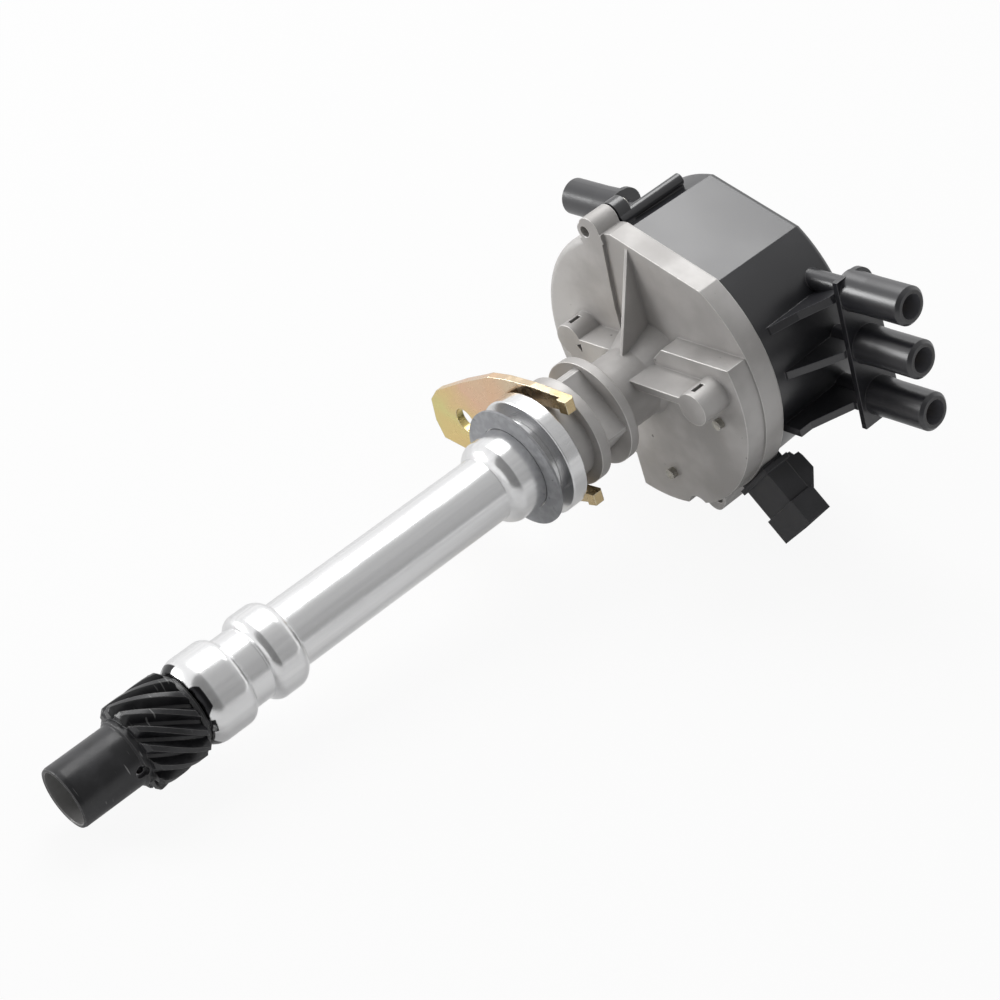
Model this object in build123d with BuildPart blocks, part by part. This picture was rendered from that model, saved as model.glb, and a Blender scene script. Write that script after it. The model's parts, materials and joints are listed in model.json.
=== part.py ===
from build123d import *
from math import atan, cos, degrees, pi, radians, sin, sqrt, tan
import os

# An ignition distributor with a cast housing, a drop-in stem and a flat-sided cap.
# Millimetres. +Z runs up the shaft from the drive gear to the cap, and the origin is
# on the shaft's axis at the underside of the flange that seats on the engine.
# The two rows of towers point along +X and -X.

os.makedirs("parts", exist_ok=True)

# Stem, heights measured down from the seat
stem_length = 155.0
stem_radius = 12.35
stem_bore_radius = 9.0
collar_radius = 16.3
collar_groove_radius = 13.5
collar_nose_radius = 14.0
lower_collar_length = 18.5
collar_gap = 8.0
upper_collar_length = 15.0
shoulder_radius = 16.0
shoulder_length = 16.0
shoulder_flare = 4.5

# Flange, clamp groove and neck, heights measured up from the seat
flange_radius = 23.1
flange_thickness = 6.5
groove_radius = 16.5
groove_width = 9.6
lower_disc_radius = 20.9
lower_disc_thickness = 4.2
disc_gap = 10.1
upper_disc_radius = 21.0
upper_disc_thickness = 3.6
neck_radius = 14.0
neck_flare_radius = 18.5
disc_rib_reach = 19.0
disc_rib_thickness = 3.0

# Bowl
rim_radius = 54.0
rim_flat_distance = 49.5
rim_flat_angle = -71.4
rim_height = 9.0
shallow_floor_height = 64.0
deep_step = 8.7
floor_thickness = 3.5
cavity_radius = 48.0
cavity_flat_distance = 43.5
left_pad_drop = 1.4
rim_edge_round = 3.0
pad_start_angle = 105.0
pad_end_angle = 247.5
deep_side_y = -16.4
deep_left_x = -14.3
pocket_wall = 3.2
hub_boss_radius = 12.5
hub_boss_rise = 1.5

# Ribs and bosses under the bowl
gusset_x = 2.2
gusset_thickness = 1.4
gusset_foot_height = 48.8
web_thickness = 3.0
right_breather_x = 41.7
right_breather_y = -5.3
left_breather_x = -30.3
left_breather_y = -9.8
breather_radius = 6.4
breather_length = 12.0
breather_bore_radius = 4.0
breather_floor = 2.4
breather_slot_width = 2.0
breather_slot_length = 5.0
left_web_width = 13.8
web_notch_depth = 1.2

# Cap screw lugs
lug_angle = -104.8
lug_circle_radius = 56.1
lug_radius = 4.95
lug_root = 6.0
lug_clearance = 0.8
cap_lug_height = 5.7
cap_screw_angle = -107.5
cap_screw_circle_radius = 55.7
lug_wall = 1.6
cap_screw_radius = 2.2
cap_screw_head_radius = 3.2
cap_screw_head_height = 3.0

# Seal and cap
seal_thickness = 0.8
seal_radius = 52.2
cap_radius = 51.5
cap_flat_distance = 47.1
cap_wall = 3.0
cap_height = 43.0
cap_top_round = 2.5
cap_draft = 1.64
crown_thickness = 14.0
tower_reach = 91.0
tower_radius = 7.15
socket_mouth_radius = 4.6
socket_mouth_depth = 9.0
socket_radius = 3.9
socket_depth = 21.0
right_tower_pitch = 21.8
left_tower_pitch = 22.9
tower_root_radius = 7.5
tower_seat_length = 18.0
tower_stub_radius = 3.9
right_tower_rise = 33.8
left_tower_rise = 41.6
tower_end_chamfer = 1.2
left_conduit_reach = 16.0
plate_distance = 62.5
plate_thickness = 2.2
plate_rise = 9.6
right_plate_drop = 7.3
left_plate_drop = 1.3
plate_slope = 2.1
plate_front_margin = 7.1
plate_back_margin = 9.2
plate_corner = 7.0
cap_web_thickness = 3.0
cap_web_spread = 20.0
right_web_drop = 2.1
left_web_drop = 3.7
web_knee_drop = 9.2
web_knee_reach = 6.1
cap_web_rise = 2.7
cap_web_bite = 5.5
back_web_reach = 3.6
back_web_flank = 5.5
coil_tower_height = 24.0
bead_radius = 2.4
bead_circle_radius = 53.6
bead_angle = -101.5
bead_height = 31.0
bead_web_thickness = 2.4

# High-voltage parts
electrode_circle_radius = 34.0
electrode_radius = 2.2
electrode_boss_radius = 4.4
electrode_overlap = 4.0
conductor_radius = 1.6
stud_radius = 2.0
stud_length = 11.5
conductor_bend = 42.0
button_radius = 3.0
button_length = 10.0
spring_length = 6.0
spring_wire = 0.7
rotor_gap = 0.8
contact_gap = 0.3

# Shaft and bearings
shaft_radius = 6.32
bearing_clearance = 0.03
bushing_length = 19.0
shaft_slot_width = 4.8
shaft_slot_depth = 6.0

# Drive gear
tooth_count = 13
gear_tip_radius = 16.3
gear_root_radius = 12.6
helix_angle = 36.0
tooth_length = 21.5
sleeve_radius = 11.5
sleeve_length = 24.5
sleeve_bore_radius = 9.9
sleeve_bore_depth = 14.0
hub_step_radius = 12.4
hub_step_length = 2.5
roll_pin_radius = 2.35
roll_pin_height = -182.3
roll_pin_angle = 7.6
roll_pin_inset = 1.5
washer_thickness = 1.4
shim_thickness = 0.9
washer_radius = 13.4
end_play = 0.2

# Trigger and sensor
vane_radius = 31.2
vane_skirt_thickness = 1.2
vane_skirt_height = 7.7
vane_disc_thickness = 1.3
vane_hub_length = 5.8
vane_hub_radius = 9.0
upper_washer_radius = 9.5
upper_washer_thickness = 1.0
vane_pin_radius = 1.5
sensor_angle = 47.3
sensor_screw_circle_radius = 40.5
sensor_screw_spread = 35.7
sensor_screw_radius = 2.0
sensor_screw_tip = 2.3
sensor_screw_head_radius = 3.6
sensor_screw_head_height = 2.4
sensor_foot_radius = 5.0
sensor_body_start = 22.7
sensor_body_length = 23.8
sensor_slot_depth = 1.8
sensor_flange_thickness = 3.4
sensor_height = 13.0
sensor_slot_clearance = 1.1
connector_half_width = 9.4
connector_mouth_half_width = 10.8
connector_lift = 6.4
connector_height = 9.8
connector_root = 45.6
connector_back = 62.0
connector_reach = 79.4
connector_mouth_length = 10.3
connector_mouth_margin = 0.6
lock_half_width = 8.6
lock_start = 54.8
lock_end = 71.3
lock_height = 7.4
face_plate_reach = 55.4
face_plate_thickness = 2.0
face_plate_margin = 1.4
notch_length = 16.0
notch_inset = 3.0
connector_wall = 1.6
terminal_pitch = 5.3
terminal_width = 1.5
terminal_thickness = 0.8
terminal_drop = 1.5
terminal_length = 17.5
terminal_root = 4.0

# Rotor
rotor_base_radius = 26.0
rotor_base_thickness = 3.8
rotor_hub_radius = 10.0
rotor_hub_rise = 10.9
rotor_arm_length = 28.0
rotor_arm_width = 10.0
rotor_tail_length = 22.0
rotor_tail_width = 4.0
rotor_contact_thickness = 1.2
rotor_contact_width = 7.0
rotor_screw_circle_radius = 18.0
rotor_screw_radius = 2.0
rotor_screw_head_radius = 3.4
rotor_screw_head_height = 2.2
rotor_screw_tip = 1.2
screw_slot_width = 1.0
shaft_end_rise = 3.0

# Gasket and clamp
gasket_height = -6.6
gasket_thickness = 1.0
gasket_radius = 23.0
gasket_clearance = 0.2
clamp_thickness = 3.2
clamp_clearance = 0.6
clamp_lift = 0.5
clamp_arm_half_width = 24.8
clamp_front_tip_taper = 2.6
clamp_back_tip_taper = 3.2
clamp_pad_reach = 62.8
clamp_pad_front = 8.6
clamp_pad_back = 15.1
clamp_waist_reach = 37.5
clamp_waist_front = 17.3
clamp_waist_back = 18.2
clamp_hole_offset = 1.1
clamp_hole_distance = 43.5
clamp_hole_radius = 4.9
clamp_tip_reach = 17.5
clamp_tip_thickness = 4.0
clamp_tip_drop = 1.6
clamp_bend_x = -24.0
clamp_rise = 4.2

# Sizes that follow from the ones above
tower_draft = degrees(atan((tower_root_radius - tower_radius)
                           / (tower_reach - tower_seat_length - plate_distance)))
groove_top = flange_thickness + groove_width
lower_disc_top = groove_top + lower_disc_thickness
upper_disc_bottom = lower_disc_top + disc_gap
upper_disc_top = upper_disc_bottom + upper_disc_thickness
deep_floor_height = shallow_floor_height - deep_step
left_pad_height = shallow_floor_height - left_pad_drop
lug_foot_height = left_pad_height
parting_height = shallow_floor_height + rim_height
shallow_floor_top = shallow_floor_height + floor_thickness
deep_floor_top = deep_floor_height + floor_thickness
hub_boss_top = shallow_floor_top + hub_boss_rise
cap_bottom = parting_height + seal_thickness
cap_top = cap_bottom + cap_height
cap_ceiling = cap_top - crown_thickness
right_tower_height = cap_bottom + right_tower_rise
left_tower_height = cap_bottom + left_tower_rise
lower_collar_top = -stem_length + lower_collar_length
upper_collar_bottom = lower_collar_top + collar_gap
upper_collar_top = upper_collar_bottom + upper_collar_length
washer_bottom = -stem_length - end_play - shim_thickness - washer_thickness
gear_teeth_bottom = washer_bottom - tooth_length
gear_step_bottom = gear_teeth_bottom - hub_step_length
gear_bottom = gear_step_bottom - sleeve_length
sleeve_bore_top = gear_bottom + sleeve_bore_depth
vane_bottom_gap = 0.2
upper_washer_bottom = hub_boss_top + vane_bottom_gap
vane_hub_bottom = upper_washer_bottom + upper_washer_thickness
vane_disc_height = vane_hub_bottom + vane_hub_length
vane_disc_top = vane_disc_height + vane_disc_thickness
rotor_base_top = vane_disc_top + rotor_base_thickness
shaft_top = rotor_base_top + shaft_end_rise
rotor_contact_height = rotor_base_top + rotor_hub_rise
contact_top = rotor_contact_height + rotor_contact_thickness
button_bottom = contact_top + contact_gap
coil_tower_top = cap_top + coil_tower_height
electrode_bottom = rotor_contact_height - electrode_overlap
electrode_length = right_tower_height + electrode_radius - electrode_bottom
connector_bottom = deep_floor_top + connector_lift
connector_top = connector_bottom + connector_height
notch_middle = rim_radius - notch_inset
bearing_bore_radius = shaft_radius + bearing_clearance


def turned_outline(points):
    """The half section through (radius, height) points, ready to turn about Z."""
    with BuildSketch(Plane.XZ) as outline:
        with BuildLine():
            Polyline(*points, close=True)
        make_face()
    return outline.sketch


def side_plane(side, distance):
    """The plane across a tower row, at a distance out along +X or -X."""
    return Plane(origin=(side * distance, 0, 0), x_dir=(0, side, 0), z_dir=(side, 0, 0))


def rod_plane(start, finish):
    """The plane at the start of a straight rod, looking along it."""
    direction = tuple(b - a for a, b in zip(start, finish))
    return Plane(origin=start, z_dir=direction)


def rod_length(start, finish):
    return sqrt(sum((b - a) ** 2 for a, b in zip(start, finish)))


def flatted_disc(radius, flat_distance):
    """A round sketch with the one flat side that housing and cap share."""
    with BuildSketch(mode=Mode.PRIVATE) as outline:
        Circle(radius)
        with Locations(Rot(0, 0, rim_flat_angle) * Pos(flat_distance + radius, 0)):
            Rectangle(2 * radius, 4 * radius, mode=Mode.SUBTRACT)
    return outline.sketch


def deep_outline(inset):
    """The sketch of the deep half of the bowl, inset by a wall."""
    radius = rim_radius - 0.6 - inset
    side_y = deep_side_y + inset
    left_x = deep_left_x + inset
    start = (sqrt(radius**2 - side_y**2), side_y)
    finish = (left_x, sqrt(radius**2 - left_x**2))
    middle_angle = radians(45.0)
    middle = (radius * cos(middle_angle), radius * sin(middle_angle))
    with BuildSketch(mode=Mode.PRIVATE) as outline:
        with BuildLine():
            ThreePointArc(start, middle, finish)
            Polyline(finish, (left_x, 36.0), (left_x + 4.5, 22.0), (left_x + 8.0, 6.0),
                     (10.0, 0.0), (12.0 + inset, side_y + 5.0), (17.5 + inset, side_y), start)
        make_face()
    return outline.sketch


def at_angle(radius, angle):
    return (radius * cos(radians(angle)), radius * sin(radians(angle)))


lug_places = [at_angle(lug_circle_radius, lug_angle), at_angle(lug_circle_radius, lug_angle + 180)]
cap_screw_places = [
    at_angle(cap_screw_circle_radius, cap_screw_angle),
    at_angle(cap_screw_circle_radius, cap_screw_angle + 180),
]
with BuildSketch(mode=Mode.PRIVATE) as lugs:
    for x, y in lug_places:
        with Locations((x, y)):
            Circle(lug_radius)
    for turn in (lug_angle, lug_angle + 180):
        with Locations(Rot(0, 0, turn) * Pos(lug_circle_radius - lug_root / 2, 0)):
            Rectangle(lug_root, 2 * lug_radius)
    with Locations(*cap_screw_places):
        Circle(cap_screw_radius + lug_wall)
lug_outline = lugs.sketch
sensor_plane = Plane(
    origin=(0, 0, 0),
    x_dir=(cos(radians(sensor_angle)), sin(radians(sensor_angle)), 0),
    z_dir=(0, 0, 1),
)
sensor_screw_places = [
    at_angle(sensor_screw_circle_radius, -sensor_screw_spread),
    at_angle(sensor_screw_circle_radius, sensor_screw_spread),
]

# Housing: stem with two bearing collars, flange, neck and bowl in one casting
shoulder_bottom = -shoulder_length
with BuildPart() as housing:
    with BuildSketch(Plane.XZ):
        with BuildLine():
            Line((0, -stem_length), (collar_nose_radius, -stem_length))
            RadiusArc((collar_nose_radius, -stem_length), (collar_radius, -stem_length + 5.5), -7.5)
            Line((collar_radius, -stem_length + 5.5), (collar_radius, lower_collar_top - 4.0))
            RadiusArc((collar_radius, lower_collar_top - 4.0), (collar_groove_radius, lower_collar_top), -4.5)
            Line((collar_groove_radius, lower_collar_top), (collar_groove_radius, upper_collar_bottom))
            RadiusArc((collar_groove_radius, upper_collar_bottom),
                      (collar_radius, upper_collar_bottom + 3.6), -4.3)
            Line((collar_radius, upper_collar_bottom + 3.6), (collar_radius, upper_collar_top - 5.0))
            RadiusArc((collar_radius, upper_collar_top - 5.0), (stem_radius, upper_collar_top), -5.5)
            Line((stem_radius, upper_collar_top), (stem_radius, shoulder_bottom - shoulder_flare))
            RadiusArc((stem_radius, shoulder_bottom - shoulder_flare), (shoulder_radius, shoulder_bottom), -7.0)
            Polyline(
                (shoulder_radius, shoulder_bottom), (shoulder_radius, 0), (flange_radius - 0.4, 0),
                (flange_radius, 0.4), (flange_radius, flange_thickness - 0.4),
                (flange_radius - 0.4, flange_thickness), (groove_radius, flange_thickness),
                (groove_radius, groove_top), (lower_disc_radius, groove_top),
                (lower_disc_radius, lower_disc_top), (neck_radius, lower_disc_top),
                (neck_radius, upper_disc_bottom), (upper_disc_radius, upper_disc_bottom),
                (upper_disc_radius, upper_disc_top), (neck_radius, upper_disc_top),
                (neck_radius, deep_floor_height - 3.0), (neck_flare_radius, shallow_floor_height),
                (neck_flare_radius, shallow_floor_top), (hub_boss_radius, shallow_floor_top),
                (hub_boss_radius, hub_boss_top), (0, hub_boss_top), (0, -stem_length),
            )
        make_face()
    revolve(axis=Axis.Z)

    # Ribs between the two neck discs
    for rib_angle in (-90, 90):
        with BuildSketch(Plane.XY.offset(lower_disc_top)):
            with Locations(Rot(0, 0, rib_angle) * Pos(disc_rib_reach / 2, 0)):
                Rectangle(disc_rib_reach, disc_rib_thickness)
        extrude(amount=disc_gap)

    # Bowl blank: shallow half, deep half and the two cap screw lugs
    with BuildSketch(Plane.XY.offset(shallow_floor_height)):
        add(flatted_disc(rim_radius, rim_flat_distance))
    extrude(amount=parting_height - shallow_floor_height)
    with BuildSketch(Plane.XY.offset(deep_floor_height)):
        add(deep_outline(0.0))
    extrude(amount=shallow_floor_height - deep_floor_height)
    with BuildSketch(Plane.XY.offset(lug_foot_height)):
        add(lug_outline)
    extrude(amount=parting_height - lug_foot_height)

    # Main gusset from the flat rim down to the neck
    with BuildSketch(Plane.YZ.offset(gusset_x - gusset_thickness / 2)):
        with BuildLine():
            Polyline((-rim_flat_distance, shallow_floor_height), (-neck_radius + 1, gusset_foot_height),
                     (-neck_radius + 1, shallow_floor_height), close=True)
        make_face()
    extrude(amount=gusset_thickness)

    # Left part of the floor, cast a little lower and flush with the lug's foot
    with BuildSketch(Plane.XY.offset(left_pad_height)):
        Circle(rim_radius)
        with BuildSketch(mode=Mode.INTERSECT):
            with BuildLine():
                Polyline((-7.8, -rim_radius - 4), (-12.2, -neck_flare_radius - 3), (-12.2, 0), (deep_left_x + 2, 14),
                         (deep_left_x + 2, rim_radius), (-rim_radius - 2, rim_radius),
                         (-rim_radius - 2, -rim_radius - 4), close=True)
            make_face()
    extrude(amount=shallow_floor_height - left_pad_height)

    # Rounded outer edge of that part
    with BuildSketch(Plane(origin=(0, 0, 0), x_dir=(*at_angle(1, pad_start_angle), 0),
                           z_dir=(*at_angle(1, pad_start_angle - 90), 0))):
        with BuildLine():
            ThreePointArc((rim_radius - rim_edge_round, left_pad_height),
                          (rim_radius - rim_edge_round * (1 - sin(pi / 4)),
                           left_pad_height + rim_edge_round * (1 - sin(pi / 4))),
                          (rim_radius, left_pad_height + rim_edge_round))
            Polyline((rim_radius, left_pad_height + rim_edge_round),
                     (rim_radius + 1, left_pad_height + rim_edge_round), (rim_radius + 1, left_pad_height - 1),
                     (rim_radius - rim_edge_round, left_pad_height - 1),
                     (rim_radius - rim_edge_round, left_pad_height))
        make_face()
    revolve(axis=Axis.Z, revolution_arc=pad_end_angle - pad_start_angle, mode=Mode.SUBTRACT)

    # Breather bosses with the webs that tie them to the neck
    right_breather_bottom = deep_floor_height - breather_length
    left_breather_bottom = shallow_floor_height - breather_length
    with BuildSketch(Plane.XY.offset(right_breather_bottom)):
        with Locations((right_breather_x, right_breather_y)):
            Circle(breather_radius)
        with Locations((right_breather_x / 2 + 2, right_breather_y - 2.1)):
            Rectangle(right_breather_x - 4, web_thickness)
    extrude(amount=breather_length)
    with BuildSketch(Plane.XY.offset(left_breather_bottom)):
        with Locations((left_breather_x, left_breather_y)):
            Circle(breather_radius)
        with Locations((left_breather_x / 2, left_breather_y - 2.0 + left_web_width / 2)):
            Rectangle(-left_breather_x + 4, left_web_width)
    extrude(amount=breather_length)

    # Hollows: bowl, deep pocket, shaft tunnel, screw holes and breathers
    with BuildSketch(Plane.XY.offset(shallow_floor_top)):
        add(flatted_disc(cavity_radius, cavity_flat_distance))
        Circle(hub_boss_radius, mode=Mode.SUBTRACT)
    extrude(amount=parting_height - shallow_floor_top, mode=Mode.SUBTRACT)
    with BuildSketch(Plane.XY.offset(hub_boss_top)):
        Circle(hub_boss_radius + 1.0)
    extrude(amount=parting_height - hub_boss_top, mode=Mode.SUBTRACT)
    with BuildSketch(Plane.XY.offset(deep_floor_top)):
        add(deep_outline(pocket_wall))
        Circle(neck_flare_radius, mode=Mode.SUBTRACT)
        with Locations(lug_places[1]):
            Circle(lug_radius + lug_clearance + pocket_wall, mode=Mode.SUBTRACT)
        with BuildSketch(mode=Mode.INTERSECT):
            Circle(cavity_radius)
    extrude(amount=shallow_floor_top - deep_floor_top, mode=Mode.SUBTRACT)
    with Locations((0, 0, -stem_length)):
        Cylinder(stem_bore_radius, stem_length + hub_boss_top,
                 align=(Align.CENTER, Align.CENTER, Align.MIN), mode=Mode.SUBTRACT)
    for x, y in cap_screw_places:
        with Locations((x, y, lug_foot_height)):
            Cylinder(cap_screw_radius, parting_height - lug_foot_height,
                     align=(Align.CENTER, Align.CENTER, Align.MIN), mode=Mode.SUBTRACT)
    with Locations((*lug_places[1], deep_floor_height)):
        Cylinder(lug_radius + lug_clearance, lug_foot_height - deep_floor_height,
                 align=(Align.CENTER, Align.CENTER, Align.MIN), mode=Mode.SUBTRACT)
    for x, y in sensor_screw_places:
        with Locations(sensor_plane * Pos(x, y, deep_floor_height)):
            Cylinder(sensor_screw_radius, floor_thickness,
                     align=(Align.CENTER, Align.CENTER, Align.MIN), mode=Mode.SUBTRACT)
    for x, y, bottom, top in (
        (right_breather_x, right_breather_y, right_breather_bottom, deep_floor_top),
        (left_breather_x, left_breather_y, left_breather_bottom, shallow_floor_top),
    ):
        with Locations((x, y, bottom + breather_floor)):
            Cylinder(breather_bore_radius, top - bottom - breather_floor,
                     align=(Align.CENTER, Align.CENTER, Align.MIN), mode=Mode.SUBTRACT)
        with Locations((x, y - breather_radius, bottom + breather_floor + breather_slot_length / 2)):
            Box(breather_slot_width, breather_radius, breather_slot_length, mode=Mode.SUBTRACT)

    # Small notch beside the left breather, and the oil notch under the lower collar
    with BuildSketch(Plane.XY.offset(left_breather_bottom)):
        with BuildLine():
            Polyline((-26.6, -9.0), (-23.9, -9.9), (-24.3, -6.0), close=True)
        make_face()
    extrude(amount=web_notch_depth, mode=Mode.SUBTRACT)
    with Locations((*at_angle(collar_nose_radius, 8.0), -stem_length)):
        Box(3.4, 5.0, 2.4, mode=Mode.SUBTRACT)

    # Notch in the rim for the connector
    with Locations(sensor_plane * Pos(notch_middle, 0, (connector_bottom + parting_height) / 2)):
        Box(notch_length, 2 * connector_half_width, parting_height - connector_bottom, mode=Mode.SUBTRACT)
housing.part.label = "housing"
export_step(housing.part, "parts/housing.step")

# Bushings pressed into the ends of the stem bore
lower_bushing_bottom = -stem_length + 1.0
upper_bushing_top = hub_boss_top - 1.0
with BuildPart() as lower_bushing:
    with Locations((0, 0, lower_bushing_bottom)):
        Cylinder(stem_bore_radius, bushing_length, align=(Align.CENTER, Align.CENTER, Align.MIN))
        Cylinder(bearing_bore_radius, bushing_length, align=(Align.CENTER, Align.CENTER, Align.MIN),
                 mode=Mode.SUBTRACT)
lower_bushing.part.label = "lower_bushing"
export_step(lower_bushing.part, "parts/lower_bushing.step")

with BuildPart() as upper_bushing:
    with Locations((0, 0, upper_bushing_top - bushing_length)):
        Cylinder(stem_bore_radius, bushing_length, align=(Align.CENTER, Align.CENTER, Align.MIN))
        Cylinder(bearing_bore_radius, bushing_length, align=(Align.CENTER, Align.CENTER, Align.MIN),
                 mode=Mode.SUBTRACT)
upper_bushing.part.label = "upper_bushing"
export_step(upper_bushing.part, "parts/upper_bushing.step")

# Shaft, with the slot that drives the oil pump and two pin holes
roll_pin_plane = Plane(
    origin=(*at_angle(-(sleeve_radius + 1.0), roll_pin_angle), roll_pin_height),
    z_dir=(*at_angle(1, roll_pin_angle), 0),
)
vane_pin_height = vane_hub_bottom + 2.9
shaft_bottom = sleeve_bore_top
with BuildPart() as shaft:
    revolve(turned_outline([
        (0, shaft_bottom), (shaft_radius - 0.6, shaft_bottom), (shaft_radius, shaft_bottom + 0.6),
        (shaft_radius, shaft_top - 0.6), (shaft_radius - 0.6, shaft_top), (0, shaft_top),
    ]), axis=Axis.Z)
    with Locations((0, 0, shaft_bottom + shaft_slot_depth / 2)):
        Box(shaft_slot_width, 2 * shaft_radius, shaft_slot_depth, mode=Mode.SUBTRACT)
    with BuildSketch(roll_pin_plane):
        Circle(roll_pin_radius)
    extrude(amount=2 * (sleeve_radius + 1.0), mode=Mode.SUBTRACT)
    with BuildSketch(Plane.XZ.offset(-shaft_radius)):
        with Locations((0, vane_pin_height)):
            Circle(vane_pin_radius)
    extrude(amount=2 * shaft_radius, mode=Mode.SUBTRACT)
shaft.part.label = "shaft"
export_step(shaft.part, "parts/shaft.step")

# Helical drive gear with its open sleeve
pitch_radius = (gear_tip_radius + gear_root_radius) / 2
tooth_twist = degrees(tooth_length * tan(radians(helix_angle)) / pitch_radius)
twist_steps = 8
tooth_half_angles = (10.4, 8.2, 5.9, 4.0)
tooth_radii = (gear_root_radius, gear_root_radius + 0.9, gear_tip_radius - 1.0, gear_tip_radius)


def gear_section(turn_angle):
    """Corner points of the toothed outline, turned by an angle in degrees."""
    corners = []
    for tooth in range(tooth_count):
        middle = turn_angle + 360 * tooth / tooth_count
        for half_angle, radius in zip(tooth_half_angles, tooth_radii):
            corners.append(at_angle(radius, middle - half_angle))
        for half_angle, radius in zip(reversed(tooth_half_angles), reversed(tooth_radii)):
            corners.append(at_angle(radius, middle + half_angle))
    return corners


with BuildPart() as drive_gear:
    for step in range(twist_steps + 1):
        with BuildSketch(Plane.XY.offset(gear_teeth_bottom + tooth_length * step / twist_steps)):
            with BuildLine():
                Polyline(*gear_section(tooth_twist * step / twist_steps), close=True)
            make_face()
    loft(ruled=True)
    revolve(turned_outline([
        (0, gear_teeth_bottom), (gear_tip_radius - 1.4, gear_teeth_bottom),
        (gear_tip_radius, gear_teeth_bottom + 1.4), (gear_tip_radius, washer_bottom - 1.0),
        (gear_tip_radius - 1.0, washer_bottom), (0, washer_bottom),
    ]), axis=Axis.Z, mode=Mode.INTERSECT)
    revolve(turned_outline([
        (0, gear_bottom), (sleeve_bore_radius + 0.5, gear_bottom), (sleeve_radius - 0.3, gear_bottom + 0.3),
        (sleeve_radius, gear_bottom + 1.2), (sleeve_radius, gear_step_bottom),
        (hub_step_radius, gear_step_bottom + 0.6), (hub_step_radius, gear_teeth_bottom + 1.0),
        (0, gear_teeth_bottom + 1.0),
    ]), axis=Axis.Z)
    with Locations((0, 0, gear_bottom)):
        Cylinder(shaft_radius, washer_bottom - gear_bottom,
                 align=(Align.CENTER, Align.CENTER, Align.MIN), mode=Mode.SUBTRACT)
        Cylinder(sleeve_bore_radius, sleeve_bore_depth,
                 align=(Align.CENTER, Align.CENTER, Align.MIN), mode=Mode.SUBTRACT)
    with BuildSketch(roll_pin_plane):
        Circle(roll_pin_radius)
    extrude(amount=2 * (sleeve_radius + 1.0), mode=Mode.SUBTRACT)
drive_gear.part.label = "drive_gear"
export_step(drive_gear.part, "parts/drive_gear.step")

# Split spring pin that holds gear and shaft together
with BuildPart() as gear_roll_pin:
    with BuildSketch(roll_pin_plane.offset(1.0 + roll_pin_inset)):
        Circle(roll_pin_radius)
        Circle(roll_pin_radius - 0.9, mode=Mode.SUBTRACT)
        with Locations((0, roll_pin_radius)):
            Rectangle(0.8, 2 * roll_pin_radius, mode=Mode.SUBTRACT)
    extrude(amount=2 * (sleeve_radius - roll_pin_inset))
gear_roll_pin.part.label = "gear_roll_pin"
export_step(gear_roll_pin.part, "parts/gear_roll_pin.step")

# Thrust washer and shim between gear and stem
with BuildPart() as thrust_washer:
    with BuildSketch(Plane.XY.offset(washer_bottom)):
        Circle(washer_radius)
        Circle(shaft_radius + 0.15, mode=Mode.SUBTRACT)
    extrude(amount=washer_thickness)
thrust_washer.part.label = "thrust_washer"
export_step(thrust_washer.part, "parts/thrust_washer.step")

with BuildPart() as thrust_shim:
    with BuildSketch(Plane.XY.offset(washer_bottom + washer_thickness)):
        Circle(washer_radius - 0.6)
        Circle(shaft_radius + 0.15, mode=Mode.SUBTRACT)
    extrude(amount=shim_thickness)
thrust_shim.part.label = "thrust_shim"
export_step(thrust_shim.part, "parts/thrust_shim.step")

# Washer under the vane wheel
with BuildPart() as upper_washer:
    with BuildSketch(Plane.XY.offset(upper_washer_bottom)):
        Circle(upper_washer_radius)
        Circle(shaft_radius + 0.15, mode=Mode.SUBTRACT)
    extrude(amount=upper_washer_thickness)
upper_washer.part.label = "upper_washer"
export_step(upper_washer.part, "parts/upper_washer.step")

# Vane wheel: hub, disc and a skirt round half a turn
with BuildPart() as vane_wheel:
    with BuildSketch(Plane.XY.offset(vane_hub_bottom)):
        Circle(vane_hub_radius)
    extrude(amount=vane_disc_top - vane_hub_bottom)
    with BuildSketch(Plane.XY.offset(vane_disc_height)):
        Circle(vane_radius)
    extrude(amount=vane_disc_thickness)
    with BuildSketch(Plane.XY.offset(vane_disc_height - vane_skirt_height)):
        Circle(vane_radius)
        Circle(vane_radius - vane_skirt_thickness, mode=Mode.SUBTRACT)
        with Locations(Rot(0, 0, sensor_angle) * Pos(vane_radius, 0)):
            Rectangle(2 * vane_radius, 3 * vane_radius, mode=Mode.SUBTRACT)
    extrude(amount=vane_skirt_height)
    with Locations((0, 0, vane_hub_bottom)):
        Cylinder(shaft_radius, vane_disc_top - vane_hub_bottom,
                 align=(Align.CENTER, Align.CENTER, Align.MIN), mode=Mode.SUBTRACT)
    with BuildSketch(Plane.XZ.offset(-vane_hub_radius)):
        with Locations((0, vane_pin_height)):
            Circle(vane_pin_radius)
    extrude(amount=2 * vane_hub_radius, mode=Mode.SUBTRACT)
    with BuildSketch(Plane.XY.offset(vane_disc_height)):
        with Locations((0, rotor_screw_circle_radius), (0, -rotor_screw_circle_radius)):
            Circle(rotor_screw_radius)
    extrude(amount=vane_disc_thickness, mode=Mode.SUBTRACT)
vane_wheel.part.label = "vane_wheel"
export_step(vane_wheel.part, "parts/vane_wheel.step")

with BuildPart() as vane_wheel_pin:
    with BuildSketch(Plane.XZ.offset(-vane_hub_radius + 0.4)):
        with Locations((0, vane_pin_height)):
            Circle(vane_pin_radius)
    extrude(amount=2 * (vane_hub_radius - 0.4))
vane_wheel_pin.part.label = "vane_wheel_pin"
export_step(vane_wheel_pin.part, "parts/vane_wheel_pin.step")

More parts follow.
